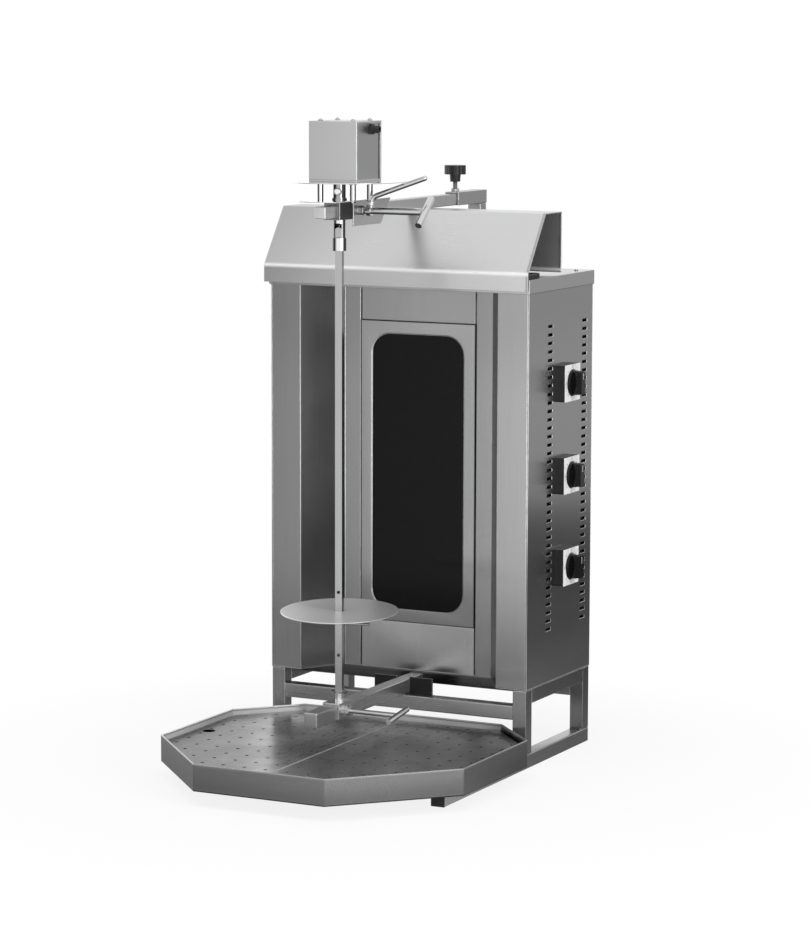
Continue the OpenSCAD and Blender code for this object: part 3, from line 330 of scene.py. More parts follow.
def brushed_steel(name, tone, grain, rough=(0.22, 0.30), depth=0.05, cloud=0.04, smear=0.0,
                  band=0.15, bend=0.0016, edge_highlight=0.55, turn=0.86, fine=1400.0, metallic=1.0):
    """Steel brushed along one axis: fine streaks, cloudy patches from wiping, a painted edge
    highlight.
    """
    made = bpy.data.materials.new(name)
    made.use_nodes = True
    tree = made.node_tree
    shader = tree.nodes["Principled BSDF"]
    shader.inputs["Metallic"].default_value = metallic
    shader.inputs["Anisotropic"].default_value = smear
    shader.inputs["Anisotropic Rotation"].default_value = QUARTER_TURN if grain == "X" else 0.0
    place = node(tree, "ShaderNodeTexCoord").outputs["Object"]
    stretch = node(tree, "ShaderNodeMapping",
                   Scale=[STREAK_ALONG if axis == grain else fine for axis in "XYZ"])
    streaks = node(tree, "ShaderNodeTexNoise", Scale=1.0, Detail=3.0, Roughness=0.6)
    wide = node(tree, "ShaderNodeMapping",
                Scale=[BAND_ALONG if axis == grain else BAND_ACROSS for axis in "XYZ"])
    bands = node(tree, "ShaderNodeTexNoise", Scale=1.0, Detail=2.0, Roughness=0.5)
    patches = node(tree, "ShaderNodeTexNoise", Scale=7.0, Detail=4.0, Roughness=0.55)
    tree.links.new(place, stretch.inputs[0])
    tree.links.new(place, wide.inputs[0])
    tree.links.new(stretch.outputs[0], streaks.inputs["Vector"])
    tree.links.new(wide.outputs[0], bands.inputs["Vector"])
    tree.links.new(place, patches.inputs["Vector"])
    together = node(tree, "ShaderNodeMix", Factor=band)
    tree.links.new(streaks.outputs["Fac"], together.inputs[MIX_NUMBER_A])
    tree.links.new(bands.outputs["Fac"], together.inputs[MIX_NUMBER_B])
    ramp = tree.nodes.new("ShaderNodeValToRGB")
    low, high = tone * (1 - cloud), min(1.0, tone * (1 + cloud))
    for stop, at, grey in zip(ramp.color_ramp.elements, (NOISE_LOW, NOISE_HIGH), (low, high)):
        stop.position = at
        stop.color = (grey, grey, grey * COLD_TINT, 1)
    tree.links.new(together.outputs[0], ramp.inputs[0])
    repaint(tree, ramp.outputs[0])
    dull = node(tree, "ShaderNodeMix", Factor=0.5)
    tree.links.new(streaks.outputs["Fac"], dull.inputs[MIX_NUMBER_A])
    tree.links.new(patches.outputs["Fac"], dull.inputs[MIX_NUMBER_B])
    roughness = node(tree, "ShaderNodeMapRange", From_Min=NOISE_LOW, From_Max=NOISE_HIGH,
                     To_Min=rough[0], To_Max=rough[1])
    tree.links.new(dull.outputs[0], roughness.inputs["Value"])
    tree.links.new(roughness.outputs[0], shader.inputs["Roughness"])
    bump = node(tree, "ShaderNodeBump", Strength=depth, Distance=STREAK_DEEP)
    tree.links.new(streaks.outputs["Fac"], bump.inputs["Height"])
    tree.links.new(bump.outputs[0], shader.inputs["Normal"])
    if bend:
        round_bends(tree, shader, bump, bend, edge_highlight, turn)
    return made


def break_edges(piece, edge, steps):
    joined = piece.modifiers.new("joined_edges", "WELD")
    joined.merge_threshold = SAME_POINT
    bevel = piece.modifiers.new("broken_edges", "BEVEL")
    bevel.width = edge
    bevel.segments = steps
    bevel.limit_method = "ANGLE"
    bevel.angle_limit = SHARP_EDGE
    bevel.use_clamp_overlap = True
    bevel.harden_normals = False
    for face in piece.data.polygons:
        face.use_smooth = True
    smooth = piece.modifiers.new("smooth_bends", "WEIGHTED_NORMAL")
    smooth.keep_sharp = False


def dress(name, material, edge=0.0006, steps=2):
    """Gives a CAD node its finish, and breaks its sharp edges as a maker's file would."""
    piece = nodes[name]
    piece.data.materials.clear()
    piece.data.materials.append(material)
    if edge:
        break_edges(piece, edge, steps)


TUBE_CORNER = 0.0018
tube_upright = brushed_steel("tube_brushed_upright", 0.47, "Z", smear=0.5, bend=0.0026, edge_highlight=0.7,
                             cloud=0.08)
tube_deep = brushed_steel("tube_brushed_front_to_back", 0.47, "Y", bend=0.0026, edge_highlight=0.7,
                          cloud=0.08)
tube_wide = brushed_steel("tube_brushed_across", 0.52, "X", smear=0.4, bend=0.0026, edge_highlight=0.7,
                          cloud=0.10, band=0.4)
wiped_tube = brushed_steel("tube_wiped_bright", 0.52, "Y", rough=(0.24, 0.34), depth=0.03,
                           cloud=0.15, band=0.4, bend=0.0022, edge_highlight=0.8, metallic=0.84)
# The cross rail's steel is dark: painted shade under the cabinet.
rear_rail_steel = brushed_steel("cross_rail_shaded", 0.14, "X")
for name, tube_steel in (("base_legs", tube_upright), ("rear_post", tube_upright),
                         ("bottom_side_rails", tube_deep), ("top_rails", tube_deep),
                         ("bottom_arm", wiped_tube), ("mid_rail", tube_wide),
                         ("cross_rail", rear_rail_steel)):
    dress(name, tube_steel, edge=TUBE_CORNER, steps=3)

# Weld beads: small rippled fillets of stainless weld in the frame's inner corners, brushed
# but not ground away, and a little browned by the heat.
RIPPLE = 0.0011
RIPPLE_DEPTH = 0.14
RIPPLE_SWING = 0.9
FEWEST_RIPPLES = 3
BEAD_SIDES = 8
BEAD_END = 0.45
HEAT_GLAZE = 0.1


def bead_mesh(name, points, radius):
    """A rippled bead along straight lengths between the points."""
    verts, faces = [], []
    for start, end in zip(points[:-1], points[1:]):
        start, end = Vector(start), Vector(end)
        along = end - start
        count = max(FEWEST_RIPPLES, int(along.length / RIPPLE))
        side = along.normalized().orthogonal().normalized()
        other = along.normalized().cross(side)
        first = len(verts)
        for i in range(count + 1):
            ripple = math.cos(i * math.pi * RIPPLE_SWING)
            swell = radius * (1 - RIPPLE_DEPTH + RIPPLE_DEPTH * ripple)
            if i in (0, count):
                swell *= BEAD_END
            for k in range(BEAD_SIDES):
                turn = 2 * math.pi * k / BEAD_SIDES
                verts.append(start + along * (i / count)
                             + side * (swell * math.cos(turn)) + other * (swell * math.sin(turn)))
        for i in range(count):
            for k in range(BEAD_SIDES):
                a = first + i * BEAD_SIDES + k
                b = first + i * BEAD_SIDES + (k + 1) % BEAD_SIDES
                faces.append((a, b, b + BEAD_SIDES, a + BEAD_SIDES))
        faces.append(tuple(first + k for k in reversed(range(BEAD_SIDES))))
        faces.append(tuple(first + count * BEAD_SIDES + k for k in range(BEAD_SIDES)))
    mesh = bpy.data.meshes.new(name)
    mesh.from_pydata([tuple(v) for v in verts], [], faces)
    for face in mesh.polygons:
        face.use_smooth = True
    return mesh


def add_piece(name, shape, material, body):
    """Puts a mesh or curve into the scene, as a piece that rides on a body."""
    piece = bpy.data.objects.new(name, shape)
    scene.collection.objects.link(piece)
    shape.materials.append(material)
    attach(piece, body)


weld_steel = brushed_steel("weld_metal", 0.36, "X", rough=(0.28, 0.40), depth=0.2, cloud=0.2)
weld_steel.node_tree.nodes["Principled BSDF"].inputs["Coat Weight"].default_value = HEAT_GLAZE


def weld(name, points, body="root", radius=0.0012):
    add_piece(name, bead_mesh(name, points, radius), weld_steel, body)


TUBE = 0.025
CORNER_GAP = 0.002
FOOT_INSET = 0.003
leg_low, leg_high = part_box("base_legs")
mid_low, mid_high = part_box("mid_rail")
arm_low, arm_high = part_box("bottom_arm")
for side, sign in (("left", -1), ("right", 1)):
    inner = sign * (leg_high.x - TUBE)
    outer = sign * (leg_high.x - FOOT_INSET)
    for place, y0, y1 in (("front", leg_low.y, leg_low.y + TUBE),
                          ("rear", leg_high.y - TUBE, leg_high.y)):
        foot = [(outer, y0, leg_low.z), (inner, y0, leg_low.z), (inner, y1, leg_low.z),
                (outer, y1, leg_low.z)]
        if place == "rear":
            foot = foot[:3]
        weld(f"leg_foot_weld_{side}_{place}", foot)
        for level, z in (("", mid_high.z), ("under_", mid_low.z)):
            weld(f"mid_rail_{level}weld_{side}_{place}",
                 [(inner, y1 - CORNER_GAP, z), (inner, y0 + CORNER_GAP, z)])
for side, sign in (("left", -1), ("right", 1)):
    weld(f"bottom_arm_weld_{side}", [
        (sign * arm_high.x, leg_low.y + CORNER_GAP, arm_low.z),
        (sign * arm_high.x, leg_low.y + TUBE - CORNER_GAP / 2, arm_low.z)])

# The arm support is a 3 mm plate between the rails, coloured almost black. Plugs of
# moulded plastic close the rails' open front ends.
HANDLED_SPAN = (0.35, 0.7)
HANDLED_SHADES = (0.85, 1.15)
HANDLED_GLOSS = (0.8, 1.25)
PEBBLE_DEEP = 0.0002
black_plate = brushed_steel("almost_black_steel", 0.05, "Z", rough=(0.35, 0.5))
dress("arm_support", black_plate)


def moulded_plastic(name, colour, rough, grain_scale=2600.0, depth=0.05, coat=0.0, specular=0.5):
    """Moulded plastic: a fine pebbled skin, with a slow change in gloss from handling."""
    made = bpy.data.materials.new(name)
    made.use_nodes = True
    tree = made.node_tree
    shader = tree.nodes["Principled BSDF"]
    shader.inputs["Coat Weight"].default_value = coat
    shader.inputs["Specular IOR Level"].default_value = specular
    place = node(tree, "ShaderNodeTexCoord").outputs["Object"]
    pebbles = node(tree, "ShaderNodeTexNoise", Scale=grain_scale, Detail=2.0)
    handling = node(tree, "ShaderNodeTexNoise", Scale=60.0, Detail=3.0)
    tree.links.new(place, pebbles.inputs["Vector"])
    tree.links.new(place, handling.inputs["Vector"])
    ramp = tree.nodes.new("ShaderNodeValToRGB")
    for stop, at, change in zip(ramp.color_ramp.elements, HANDLED_SPAN, HANDLED_SHADES):
        stop.position = at
        stop.color = (*[min(1.0, part * change) for part in colour], 1)
    tree.links.new(handling.outputs["Fac"], ramp.inputs[0])
    tree.links.new(ramp.outputs[0], shader.inputs["Base Color"])
    gloss = node(tree, "ShaderNodeMapRange", From_Min=NOISE_LOW, From_Max=NOISE_HIGH,
                 To_Min=rough * HANDLED_GLOSS[0], To_Max=rough * HANDLED_GLOSS[1])
    tree.links.new(handling.outputs["Fac"], gloss.inputs["Value"])
    tree.links.new(gloss.outputs[0], shader.inputs["Roughness"])
    bump = node(tree, "ShaderNodeBump", Strength=depth, Distance=PEBBLE_DEEP)
    tree.links.new(pebbles.outputs["Fac"], bump.inputs["Height"])
    tree.links.new(bump.outputs[0], shader.inputs["Normal"])
    return made


plug_plastic = moulded_plastic("plug_plastic", (0.012, 0.012, 0.013), rough=0.5)
dress("tube_plugs", plug_plastic, edge=0.0012, steps=3)

# Cabinet walls of 1.5 mm stainless sheet: floor, back and two side panels, brushed upright.
# The cooling slots are punched, and each slot's flap is folded in at its lower edge.


def tone_by(material, value, low, high, stops):
    """Makes a steel paler or darker by a value, such as a place on it or the way it faces."""
    tree = material.node_tree
    repaint(tree, times(tree, base_tone(tree), tone_steps(tree, value, low, high, stops)))
    return material


def place_along(material, direction):
    """How far a point of the piece lies along a direction, in metres."""
    tree = material.node_tree
    return dot_with(tree, node(tree, "ShaderNodeTexCoord").outputs["Object"], direction)


side_steel = brushed_steel("side_brushed_upright", 0.47, "Z", rough=(0.20, 0.26), smear=0.7,
                           cloud=0.03)
# Painted light and shade in bands by height: paler low down and around mid height.
tone_by(side_steel, place_along(side_steel, UP), 0.0, 1.0,
        [(0.16, 1.60), (0.25, 1.15), (0.33, 0.92), (0.42, 0.93), (0.52, 1.09), (0.70, 1.08),
         (0.80, 1.0)])
floor_steel = brushed_steel("cabinet_floor_brushed", 0.45, "X")
for name in ("side_panel_left", "side_panel_right", "back_panel"):
    dress(name, side_steel, edge=0)
dress("floor_panel", floor_steel, edge=0)

SLOT_ROWS = 37
SLOT_PITCH = 0.0147
SLOT_WIDE = 0.021
SLOT_HIGH = 0.0055
SLOT_TOP_MIDDLE = 0.7615
SLOT_FRONTS = (0.164, 0.310)
FLAP_INSET = 0.0006
FLAP_REACH = 0.0030
FLAP_RISE = 0.0014
FLAP_THICK = 0.0003
FLAP_FACES = ((0, 2, 6, 4), (1, 5, 7, 3), (0, 4, 5, 1), (2, 3, 7, 6), (4, 6, 7, 5), (0, 1, 3, 2))


def slot_flaps(name, outer_x, inward):
    verts, faces = [], []
    for front in SLOT_FRONTS:
        for row in range(SLOT_ROWS):
            z = SLOT_TOP_MIDDLE - row * SLOT_PITCH - SLOT_HIGH / 2
            base = len(verts)
            for x, up in ((outer_x + inward * FLAP_INSET, 0.0),
                          (outer_x + inward * FLAP_REACH, FLAP_RISE)):
                for y in (front + FLAP_INSET, front + SLOT_WIDE - FLAP_INSET):
                    verts.append((x, y, z + up))
                    verts.append((x + inward * FLAP_THICK, y, z + up - FLAP_THICK))
            for face in FLAP_FACES:
                faces.append(tuple(base + k for k in face))
    mesh = bpy.data.meshes.new(name)
    mesh.from_pydata(verts, [], faces)
    return mesh


flap_steel = brushed_steel("slot_flap_steel", 0.48, "Y", rough=(0.2, 0.3), bend=0)
side_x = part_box("side_panel_right")[1].x
for side, outer_x, inward in (("right", side_x, -1), ("left", -side_x, 1)):
    name = "slot_flaps_" + side
    add_piece(name, slot_flaps(name, outer_x, inward), flap_steel, "root")

# Front casings: each is one folded sheet of wing, splayed cheek and strip, with the blank
# panels over and under the window between them. All are brushed upright, and the cheeks
# carry painted shade.
CHEEK_SHADE = 0.40
CHEEK_HEIGHT_TONES = [(0.18, 1.62), (0.34, 0.86), (0.75, 0.78)]
casing_steel = brushed_steel("casing_brushed_upright", 0.515, "Z", rough=(0.20, 0.28),
                             smear=0.6, cloud=0.05, band=0.3, bend=0.0024, edge_highlight=0.9,
                             turn=0.90)


def facing(material, direction):
    """How far a surface of the piece faces a direction: 1 straight at it, -1 straight away."""
    tree = material.node_tree
    return dot_with(tree, node(tree, "ShaderNodeTexCoord").outputs["Normal"], direction)


casing_tree = casing_steel.node_tree
# Painted shade on the cheeks, which face sideways: darker than wings and strips, paler low down.
sideways = maths(casing_tree, "ShaderNodeMath", "ABSOLUTE", facing(casing_steel, (1, 0, 0)))[0]
tone_by(casing_steel, sideways, 0.0, 1.0,
        [(0.0, 1.0), (0.55, 1.0), (0.80, CHEEK_SHADE), (0.90, CHEEK_SHADE), (0.97, 1.0)])
cheek_share = tone_steps(casing_tree, sideways, 0.0, 1.0,
                         [(0.55, 0.0), (0.80, 1.0), (0.90, 1.0), (0.97, 0.0)])
cheek_height = tone_steps(casing_tree, place_along(casing_steel, UP), 0.0, 1.0,
                          CHEEK_HEIGHT_TONES)
cheek_tone = blend_tones(casing_tree, cheek_share, one_tone(casing_tree, 1.0), cheek_height)
repaint(casing_tree, times(casing_tree, base_tone(casing_tree), cheek_tone))
# Painted shade: the casings grow a little darker near the top and slightly at the foot.
tone_by(casing_steel, place_along(casing_steel, UP), 0.0, 1.0,
        [(0.16, 0.95), (0.30, 0.97), (0.62, 1.0), (0.78, 0.88)])
for name in ("front_casing_left", "front_casing_right"):
    dress(name, casing_steel, edge=0.0009, steps=3)
MARGIN = 0.01
seam_low, seam_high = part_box("top_blank_panel")


def from_edge(edge, stops):
    """Stops of (distance, grey), each counted from an edge of the piece."""
    return [(edge + away, grey) for away, grey in stops]


def dark_seams(material):
    """Paints shade into the joints at the two sides of the panels."""
    return tone_by(material, place_along(material, (1, 0, 0)), seam_low.x - MARGIN,
                   seam_high.x + MARGIN,
                   from_edge(seam_low.x, [(0.0010, 0.10), (0.0022, 1.0)])
                   + from_edge(seam_high.x, [(-0.0018, 1.0), (-0.0008, 0.15)]))


blank_steel = brushed_steel("blank_panel_brushed", 0.50, "Z", rough=(0.20, 0.28), smear=0.6,
                            band=0.3, bend=0.003, edge_highlight=1.0)
dress("top_blank_panel", dark_seams(blank_steel), edge=0.0009, steps=3)
# The lower panel's steel is a paler copy of the blank panel's, with a painted diagonal highlight.
lower_steel = brushed_steel("lower_panel_brushed", 0.74, "Z", rough=(0.20, 0.28), smear=0.6,
                            band=0.3, bend=0.003, edge_highlight=1.0)
tone_by(lower_steel, place_along(lower_steel, (0.5, 0, 0.86)), 0.0, 0.4,
        [(0.11, 0.85), (0.17, 1.12), (0.23, 0.95)])
dress("lower_panel", dark_seams(lower_steel), edge=0.0009, steps=3)

# The window: a frame of brushed sheet a little proud of the strips, and behind it one pane
# of black heater glass, polished and almost opaque.
frame_steel = brushed_steel("window_frame_brushed", 0.56, "Z", rough=(0.20, 0.28), smear=0.6,
                            bend=0.0006, edge_highlight=0.1)
# Painted shade: the frame is darker at its foot and on faces turned away from the front.
tone_by(frame_steel, place_along(frame_steel, UP), 0.0, 1.0, [(0.27, 0.74), (0.33, 1.0)])
tone_by(frame_steel, facing(frame_steel, (0, -1, 0)), 0.0, 1.0, [(0.5, 0.4), (0.9, 1.0)])
dress("window_frame", dark_seams(frame_steel), edge=0.0007)
glass = moulded_plastic("black_heater_glass", (0.004, 0.004, 0.0045), rough=0.10, grain_scale=40.0,
                        depth=0.01, specular=0.22)
dress("window_glass", glass, edge=0.0008)

# Cap: a lid of 1.5 mm sheet with its edges turned down, polished on top by wiping. Two
# hexagon bolts hold it at the back, and one holds the bottom arm.
cap_steel = brushed_steel("cap_brushed_across", 0.58, "X", rough=(0.20, 0.28), smear=0.3)
dress("cap", cap_steel, edge=0.0008)
plated = brushed_steel("plated_steel", 0.62, "Z", rough=(0.08, 0.18), depth=0.02, cloud=0.06)
dress("frame_bolts", plated, edge=0.0005)

# Hood of 2 mm sheet: front band, sloping face, flat top and rear wall bent from one piece
# and brushed across. A highlight is painted along the bend over the front band. Two short
# dark bars on the cap carry the band.
hood_steel = brushed_steel("hood_brushed_across", 0.70, "X", rough=(0.26, 0.34), depth=0.015,
                           cloud=0.01, band=0.1, smear=0.3, bend=0.0018, edge_highlight=1.0, turn=0.97,
                           fine=500.0, metallic=0.86)
hood_low, hood_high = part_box("hood")
# Painted shade at the hood's open right end.
tone_by(hood_steel, place_along(hood_steel, (1, 0, 0)), 0.0, 0.4,
        from_edge(hood_high.x, [(-0.006, 1.0), (-0.003, 0.62)]))
# Painted shading: the hood darker to the upper left, paler to the lower right.
tone_by(hood_steel, place_along(hood_steel, (0.7, 0, -0.7)), -0.9, -0.3,
        [(-0.86, 0.72), (-0.62, 1.04)])


def paint_highlight(material, share, tone, metallic):
    """Paints a highlight onto a part of a steel: paler, and less like a mirror."""
    tree = material.node_tree
    shader = tree.nodes["Principled BSDF"]
    repaint(tree, blend_tones(tree, share, base_tone(tree), one_tone(tree, tone)))
    less_metal = node(tree, "ShaderNodeMapRange",
                      To_Min=shader.inputs["Metallic"].default_value, To_Max=metallic)
    tree.links.new(share, less_metal.inputs["Value"])
    tree.links.new(less_metal.outputs[0], shader.inputs["Metallic"])


FRONT_SKIN = 0.001
CREASE_SPAN = [(-0.0014, 0.0), (-0.0007, 1.0), (0.0001, 1.0), (0.0005, 0.0)]
crease_z = max(corner.co.z for corner in nodes["hood"].data.vertices
               if corner.co.y < hood_low.y + FRONT_SKIN)
hood_tree = hood_steel.node_tree
crease_height = tone_steps(hood_tree, place_along(hood_steel, UP), 0.0, 1.2,
                           from_edge(crease_z, CREASE_SPAN))
crease_faces = tone_steps(hood_tree, facing(hood_steel, (0, -1, 0)), -1.0, 1.0,
                          [(0.5, 0.0), (0.7, 1.0)])
# A painted highlight along the bend over the front band: paler and less metallic.
paint_highlight(hood_steel, times(hood_tree, crease_height, crease_faces), tone=0.98,
             metallic=0.15)
dress("hood", hood_steel, edge=0.0004, steps=1)
dress("hood_brackets", black_plate)

# Heaters: three grooved ceramic bodies in a bright tray, a board of insulation behind them,
# and the terminal block. None of them shows unless the cabinet is opened.
ceramic = moulded_plastic("heater_ceramic", (0.20, 0.075, 0.035), rough=0.8, grain_scale=900.0,
                          depth=0.3)
board_fibre = moulded_plastic("fibre_board", (0.58, 0.53, 0.44), rough=0.9, grain_scale=700.0,
                              depth=0.4)
tray_steel = brushed_steel("heater_tray_steel", 0.6, "Z", rough=(0.12, 0.2))
dress("heater_elements", ceramic, edge=0)
dress("heater_tray", tray_steel, edge=0)
for name in ("insulation_board", "terminal_block"):
    dress(name, board_fibre, edge=0)

# Switches: a black moulded box with a thin white plate for each heater, screwed to the side
# panel over a rotary switch. The plate is printed with the four positions round the knob.
black_moulding = moulded_plastic("black_moulding", (0.012, 0.012, 0.013), rough=0.38)
white_plastic = moulded_plastic("white_plate", (1.0, 1.0, 1.0), rough=0.3, grain_scale=1200.0,
                                depth=0.02)
switch_body = moulded_plastic("switch_body", (0.62, 0.60, 0.55), rough=0.5)
print_ink = moulded_plastic("grey_print", (0.05, 0.05, 0.055), rough=0.5, grain_scale=900.0,
                            depth=0.02)
dress("switch_boxes", black_moulding, edge=0.0008)
dress("switch_plates", white_plastic, edge=0.0003)
dress("rotary_switches", switch_body, edge=0)
plates_low, plates_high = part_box("switch_plates")
PLATE_HALF = 0.032
SWITCH_Y = (plates_low.y + plates_high.y) / 2
SWITCHES = {"upper": plates_high.z - PLATE_HALF, "middle": (plates_low.z + plates_high.z) / 2,
            "lower": plates_low.z + PLATE_HALF}
FACING_RIGHT = Matrix(((0, 0, 1), (1, 0, 0), (0, 1, 0))).to_4x4()
INK_THICK = 0.00004
NUMBER_OUT = 0.0282
NUMBER_SIZE = 0.0062
TICK_IN = 0.0268
TICK_OUT = 0.0302
TICK_HALF = 0.0004
TICK_THICK = 0.00006


def printed_number(name, value, y, z):
    text = bpy.data.curves.new(name, "FONT")
    text.body = value
    text.size = NUMBER_SIZE
    text.align_x = "CENTER"
    text.align_y = "CENTER"
    text.extrude = INK_THICK
    text.resolution_u = 3
    text.materials.append(print_ink)
    mark = bpy.data.objects.new(name, text)
    mark.matrix_world = Matrix.Translation((plates_high.x + INK_THICK, y, z)) @ FACING_RIGHT
    scene.collection.objects.link(mark)
    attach(mark, "root")


def flat_marks(name, x, thick, outlines, material, body):
    """Thin printed shapes on a face that looks to the right, from outlines of (y, z)."""
    verts, faces = [], []
    for outline in outlines:
        base, count = len(verts), len(outline)
        for depth in (0, thick):
            verts += [(x + depth, y, z) for y, z in outline]
        faces.append(tuple(base + count + k for k in range(count)))
        faces.append(tuple(base + k for k in reversed(range(count))))
        for k in range(count):
            nxt = (k + 1) % count
            faces.append((base + k, base + nxt, base + count + nxt, base + count + k))
    mesh = bpy.data.meshes.new(name)
    mesh.from_pydata(verts, [], faces)
    add_piece(name, mesh, material, body)


for place, z in SWITCHES.items():
    for k, value in enumerate("0123"):
        turn = k * math.pi / 2
        printed_number(f"position_{value}_{place}", value, SWITCH_Y + NUMBER_OUT * math.sin(turn),
                       z + NUMBER_OUT * math.cos(turn))
    ticks = []
    for k in range(4):
        turn = math.pi / 4 + k * math.pi / 2
        out = Vector((math.sin(turn), math.cos(turn)))
        across = Vector((out.y, -out.x)) * TICK_HALF
        near, far = out * TICK_IN, out * TICK_OUT
        ticks.append([(SWITCH_Y + p.x, z + p.y) for p in
                      (near - across, near + across, far + across, far - across)])
    flat_marks(f"position_ticks_{place}", plates_high.x, TICK_THICK, ticks, print_ink, "root")

# Knobs of glossy black plastic: a round skirt with an upright grip, and a white line filled
# into the grip's face that points at the chosen position.
LINE_HALF = 0.0007
LINE_IN = 0.006
LINE_OUT = 0.0175
LINE_SUNK = 0.00002
LINE_THICK = 0.00012
white_ink = moulded_plastic("white_print", (0.80, 0.80, 0.80), rough=0.45, grain_scale=900.0,
                            depth=0.02)
black_gloss = moulded_plastic("black_gloss", (0.005, 0.005, 0.006), rough=0.12, grain_scale=800.0,
                              depth=0.02, coat=0.1, specular=0.25)
for place, z in SWITCHES.items():
    knob = "knob_" + place
    dress(knob, black_gloss, edge=0.0014, steps=3)
    line = [(SWITCH_Y - LINE_HALF, z + LINE_IN), (SWITCH_Y + LINE_HALF, z + LINE_IN),
            (SWITCH_Y + LINE_HALF, z + LINE_OUT), (SWITCH_Y - LINE_HALF, z + LINE_OUT)]
    flat_marks(f"knob_line_{place}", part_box(knob)[1].x - LINE_SUNK, LINE_THICK, [line],
               white_ink, knob)

# Rear post: the same 25 mm tube, welded on two short ties to the rear rail and the back
# panel. A black cable gland sits beside it.
UPPER_TIE_Z = 0.793
tie_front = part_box("back_panel")[1].y
tie_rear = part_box("rear_post")[1].y - TUBE
half = TUBE / 2
for level, z in (("lower", mid_low.z + half), ("upper", UPPER_TIE_Z)):
    for end, y in (("front", tie_front), ("rear", tie_rear)):
        weld(f"post_tie_weld_{level}_{end}", [
            (-half, y, z + half), (half, y, z + half), (half, y, z - half),
            (-half, y, z - half), (-half, y, z + half)])
dress("mains_gland", black_moulding, edge=0.0006)

# Bracket: 3 mm sheet folded over the arm and welded to the post's top, with a nut on it for
# the star knob, whose threaded stud presses on the arm.
bracket_steel = brushed_steel("bracket_brushed", 0.50, "Y", rough=(0.24, 0.34))
dress("arm_bracket", bracket_steel, edge=0.0006)
dress("star_knob", black_moulding, edge=0.0016, steps=3)
star_low, star_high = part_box("star_knob")
star_y = (star_low.y + star_high.y) / 2
bracket_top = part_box("arm_bracket")[1].z
STAR_NUT_DOWN = 0.006
STUD_LENGTH = 0.0108
STUD_RADIUS = 0.0040
STUD_PITCH = 0.00125
STUD_GAP = 0.0006
THREAD_STEPS = 14
THREAD_CREST = 0.27
NUT_RIM = 0.0085
THIN_BEAD = 0.0009


def thread_ridge(name, start, axis, length, radius, pitch, material, body):
    """The rounded crest of a screw thread, wound along a plain rod."""
    axis = Vector(axis).normalized()
    side = axis.orthogonal().normalized()
    other = axis.cross(side)
    count = int(length / pitch * THREAD_STEPS)
    curve = bpy.data.curves.new(name, "CURVE")
    curve.dimensions = "3D"
    curve.bevel_depth = pitch * THREAD_CREST
    curve.bevel_resolution = 1
    line = curve.splines.new("POLY")
    line.points.add(count - 1)
    for i, point in enumerate(line.points):
        turn = 2 * math.pi * i / THREAD_STEPS
        at = (Vector(start) + axis * (pitch * i / THREAD_STEPS)
              + side * (radius * math.cos(turn)) + other * (radius * math.sin(turn)))
        point.co = (*at, 1)
    add_piece(name, curve, material, body)


def rim_points(centre, across, up, radius, corners):
    """Points round a rim, with the first again at the end, for a bead all the way round."""
    points = []
    for k in range(corners + 1):
        turn = 2 * math.pi * k / corners
        points.append(tuple(c + radius * math.cos(turn) * a + radius * math.sin(turn) * u
                            for c, a, u in zip(centre, across, up)))
    return points


thread_ridge("star_stud_thread", (0, star_y, bracket_top + STUD_GAP), UP, STUD_LENGTH,
             STUD_RADIUS, STUD_PITCH, plated, "star_knob")
weld("star_nut_weld",
     rim_points((0, star_y, bracket_top - STAR_NUT_DOWN), (1, 0, 0), (0, 1, 0), NUT_RIM, 6),
     radius=THIN_BEAD)

# Top arm: 20 mm square tube that slides through the bracket, closed at its front end. A
# dark carriage on it carries the drive, and a bright guard plate its clamp screw.
arm_steel = brushed_steel("top_arm_brushed", 0.62, "Y", rough=(0.24, 0.34))
# A painted highlight: the arm's front end face is paler.
tone_by(arm_steel, facing(arm_steel, (0, -1, 0)), -1.0, 1.0, [(0.5, 1.0), (0.9, 1.32)])
dress("top_arm", arm_steel, edge=0.0014, steps=3)
carriage_steel = brushed_steel("carriage_dark_painted_shade", 0.16, "Y", rough=(0.3, 0.45))
# Painted light and shade: the carriage's front face is paler, its sides darker.
tone_by(carriage_steel, facing(carriage_steel, (0, -1, 0)), -1.0, 1.0, [(0.0, 0.4), (0.8, 1.7)])
dress("carriage", carriage_steel, edge=0.0007)
dress("guard_plate", bracket_steel, edge=0.0006)
CLAMP_Y = -0.093
CLAMP_Z = 0.968
CLAMP_NUT_X = 0.0178
weld("clamp_nut_weld",
     rim_points((CLAMP_NUT_X, CLAMP_Y, CLAMP_Z), (0, 1, 0), UP, NUT_RIM, 6),
     "top_arm", THIN_BEAD)

# Clamp screw and lock lever: plated 12 mm bar with a T bar welded across its end, and a bent
# 9 mm bar welded to a hub that runs on the screw.
rod_steel = brushed_steel("clamp_bar_plated", 0.80, "X", rough=(0.14, 0.24), depth=0.03, bend=0)
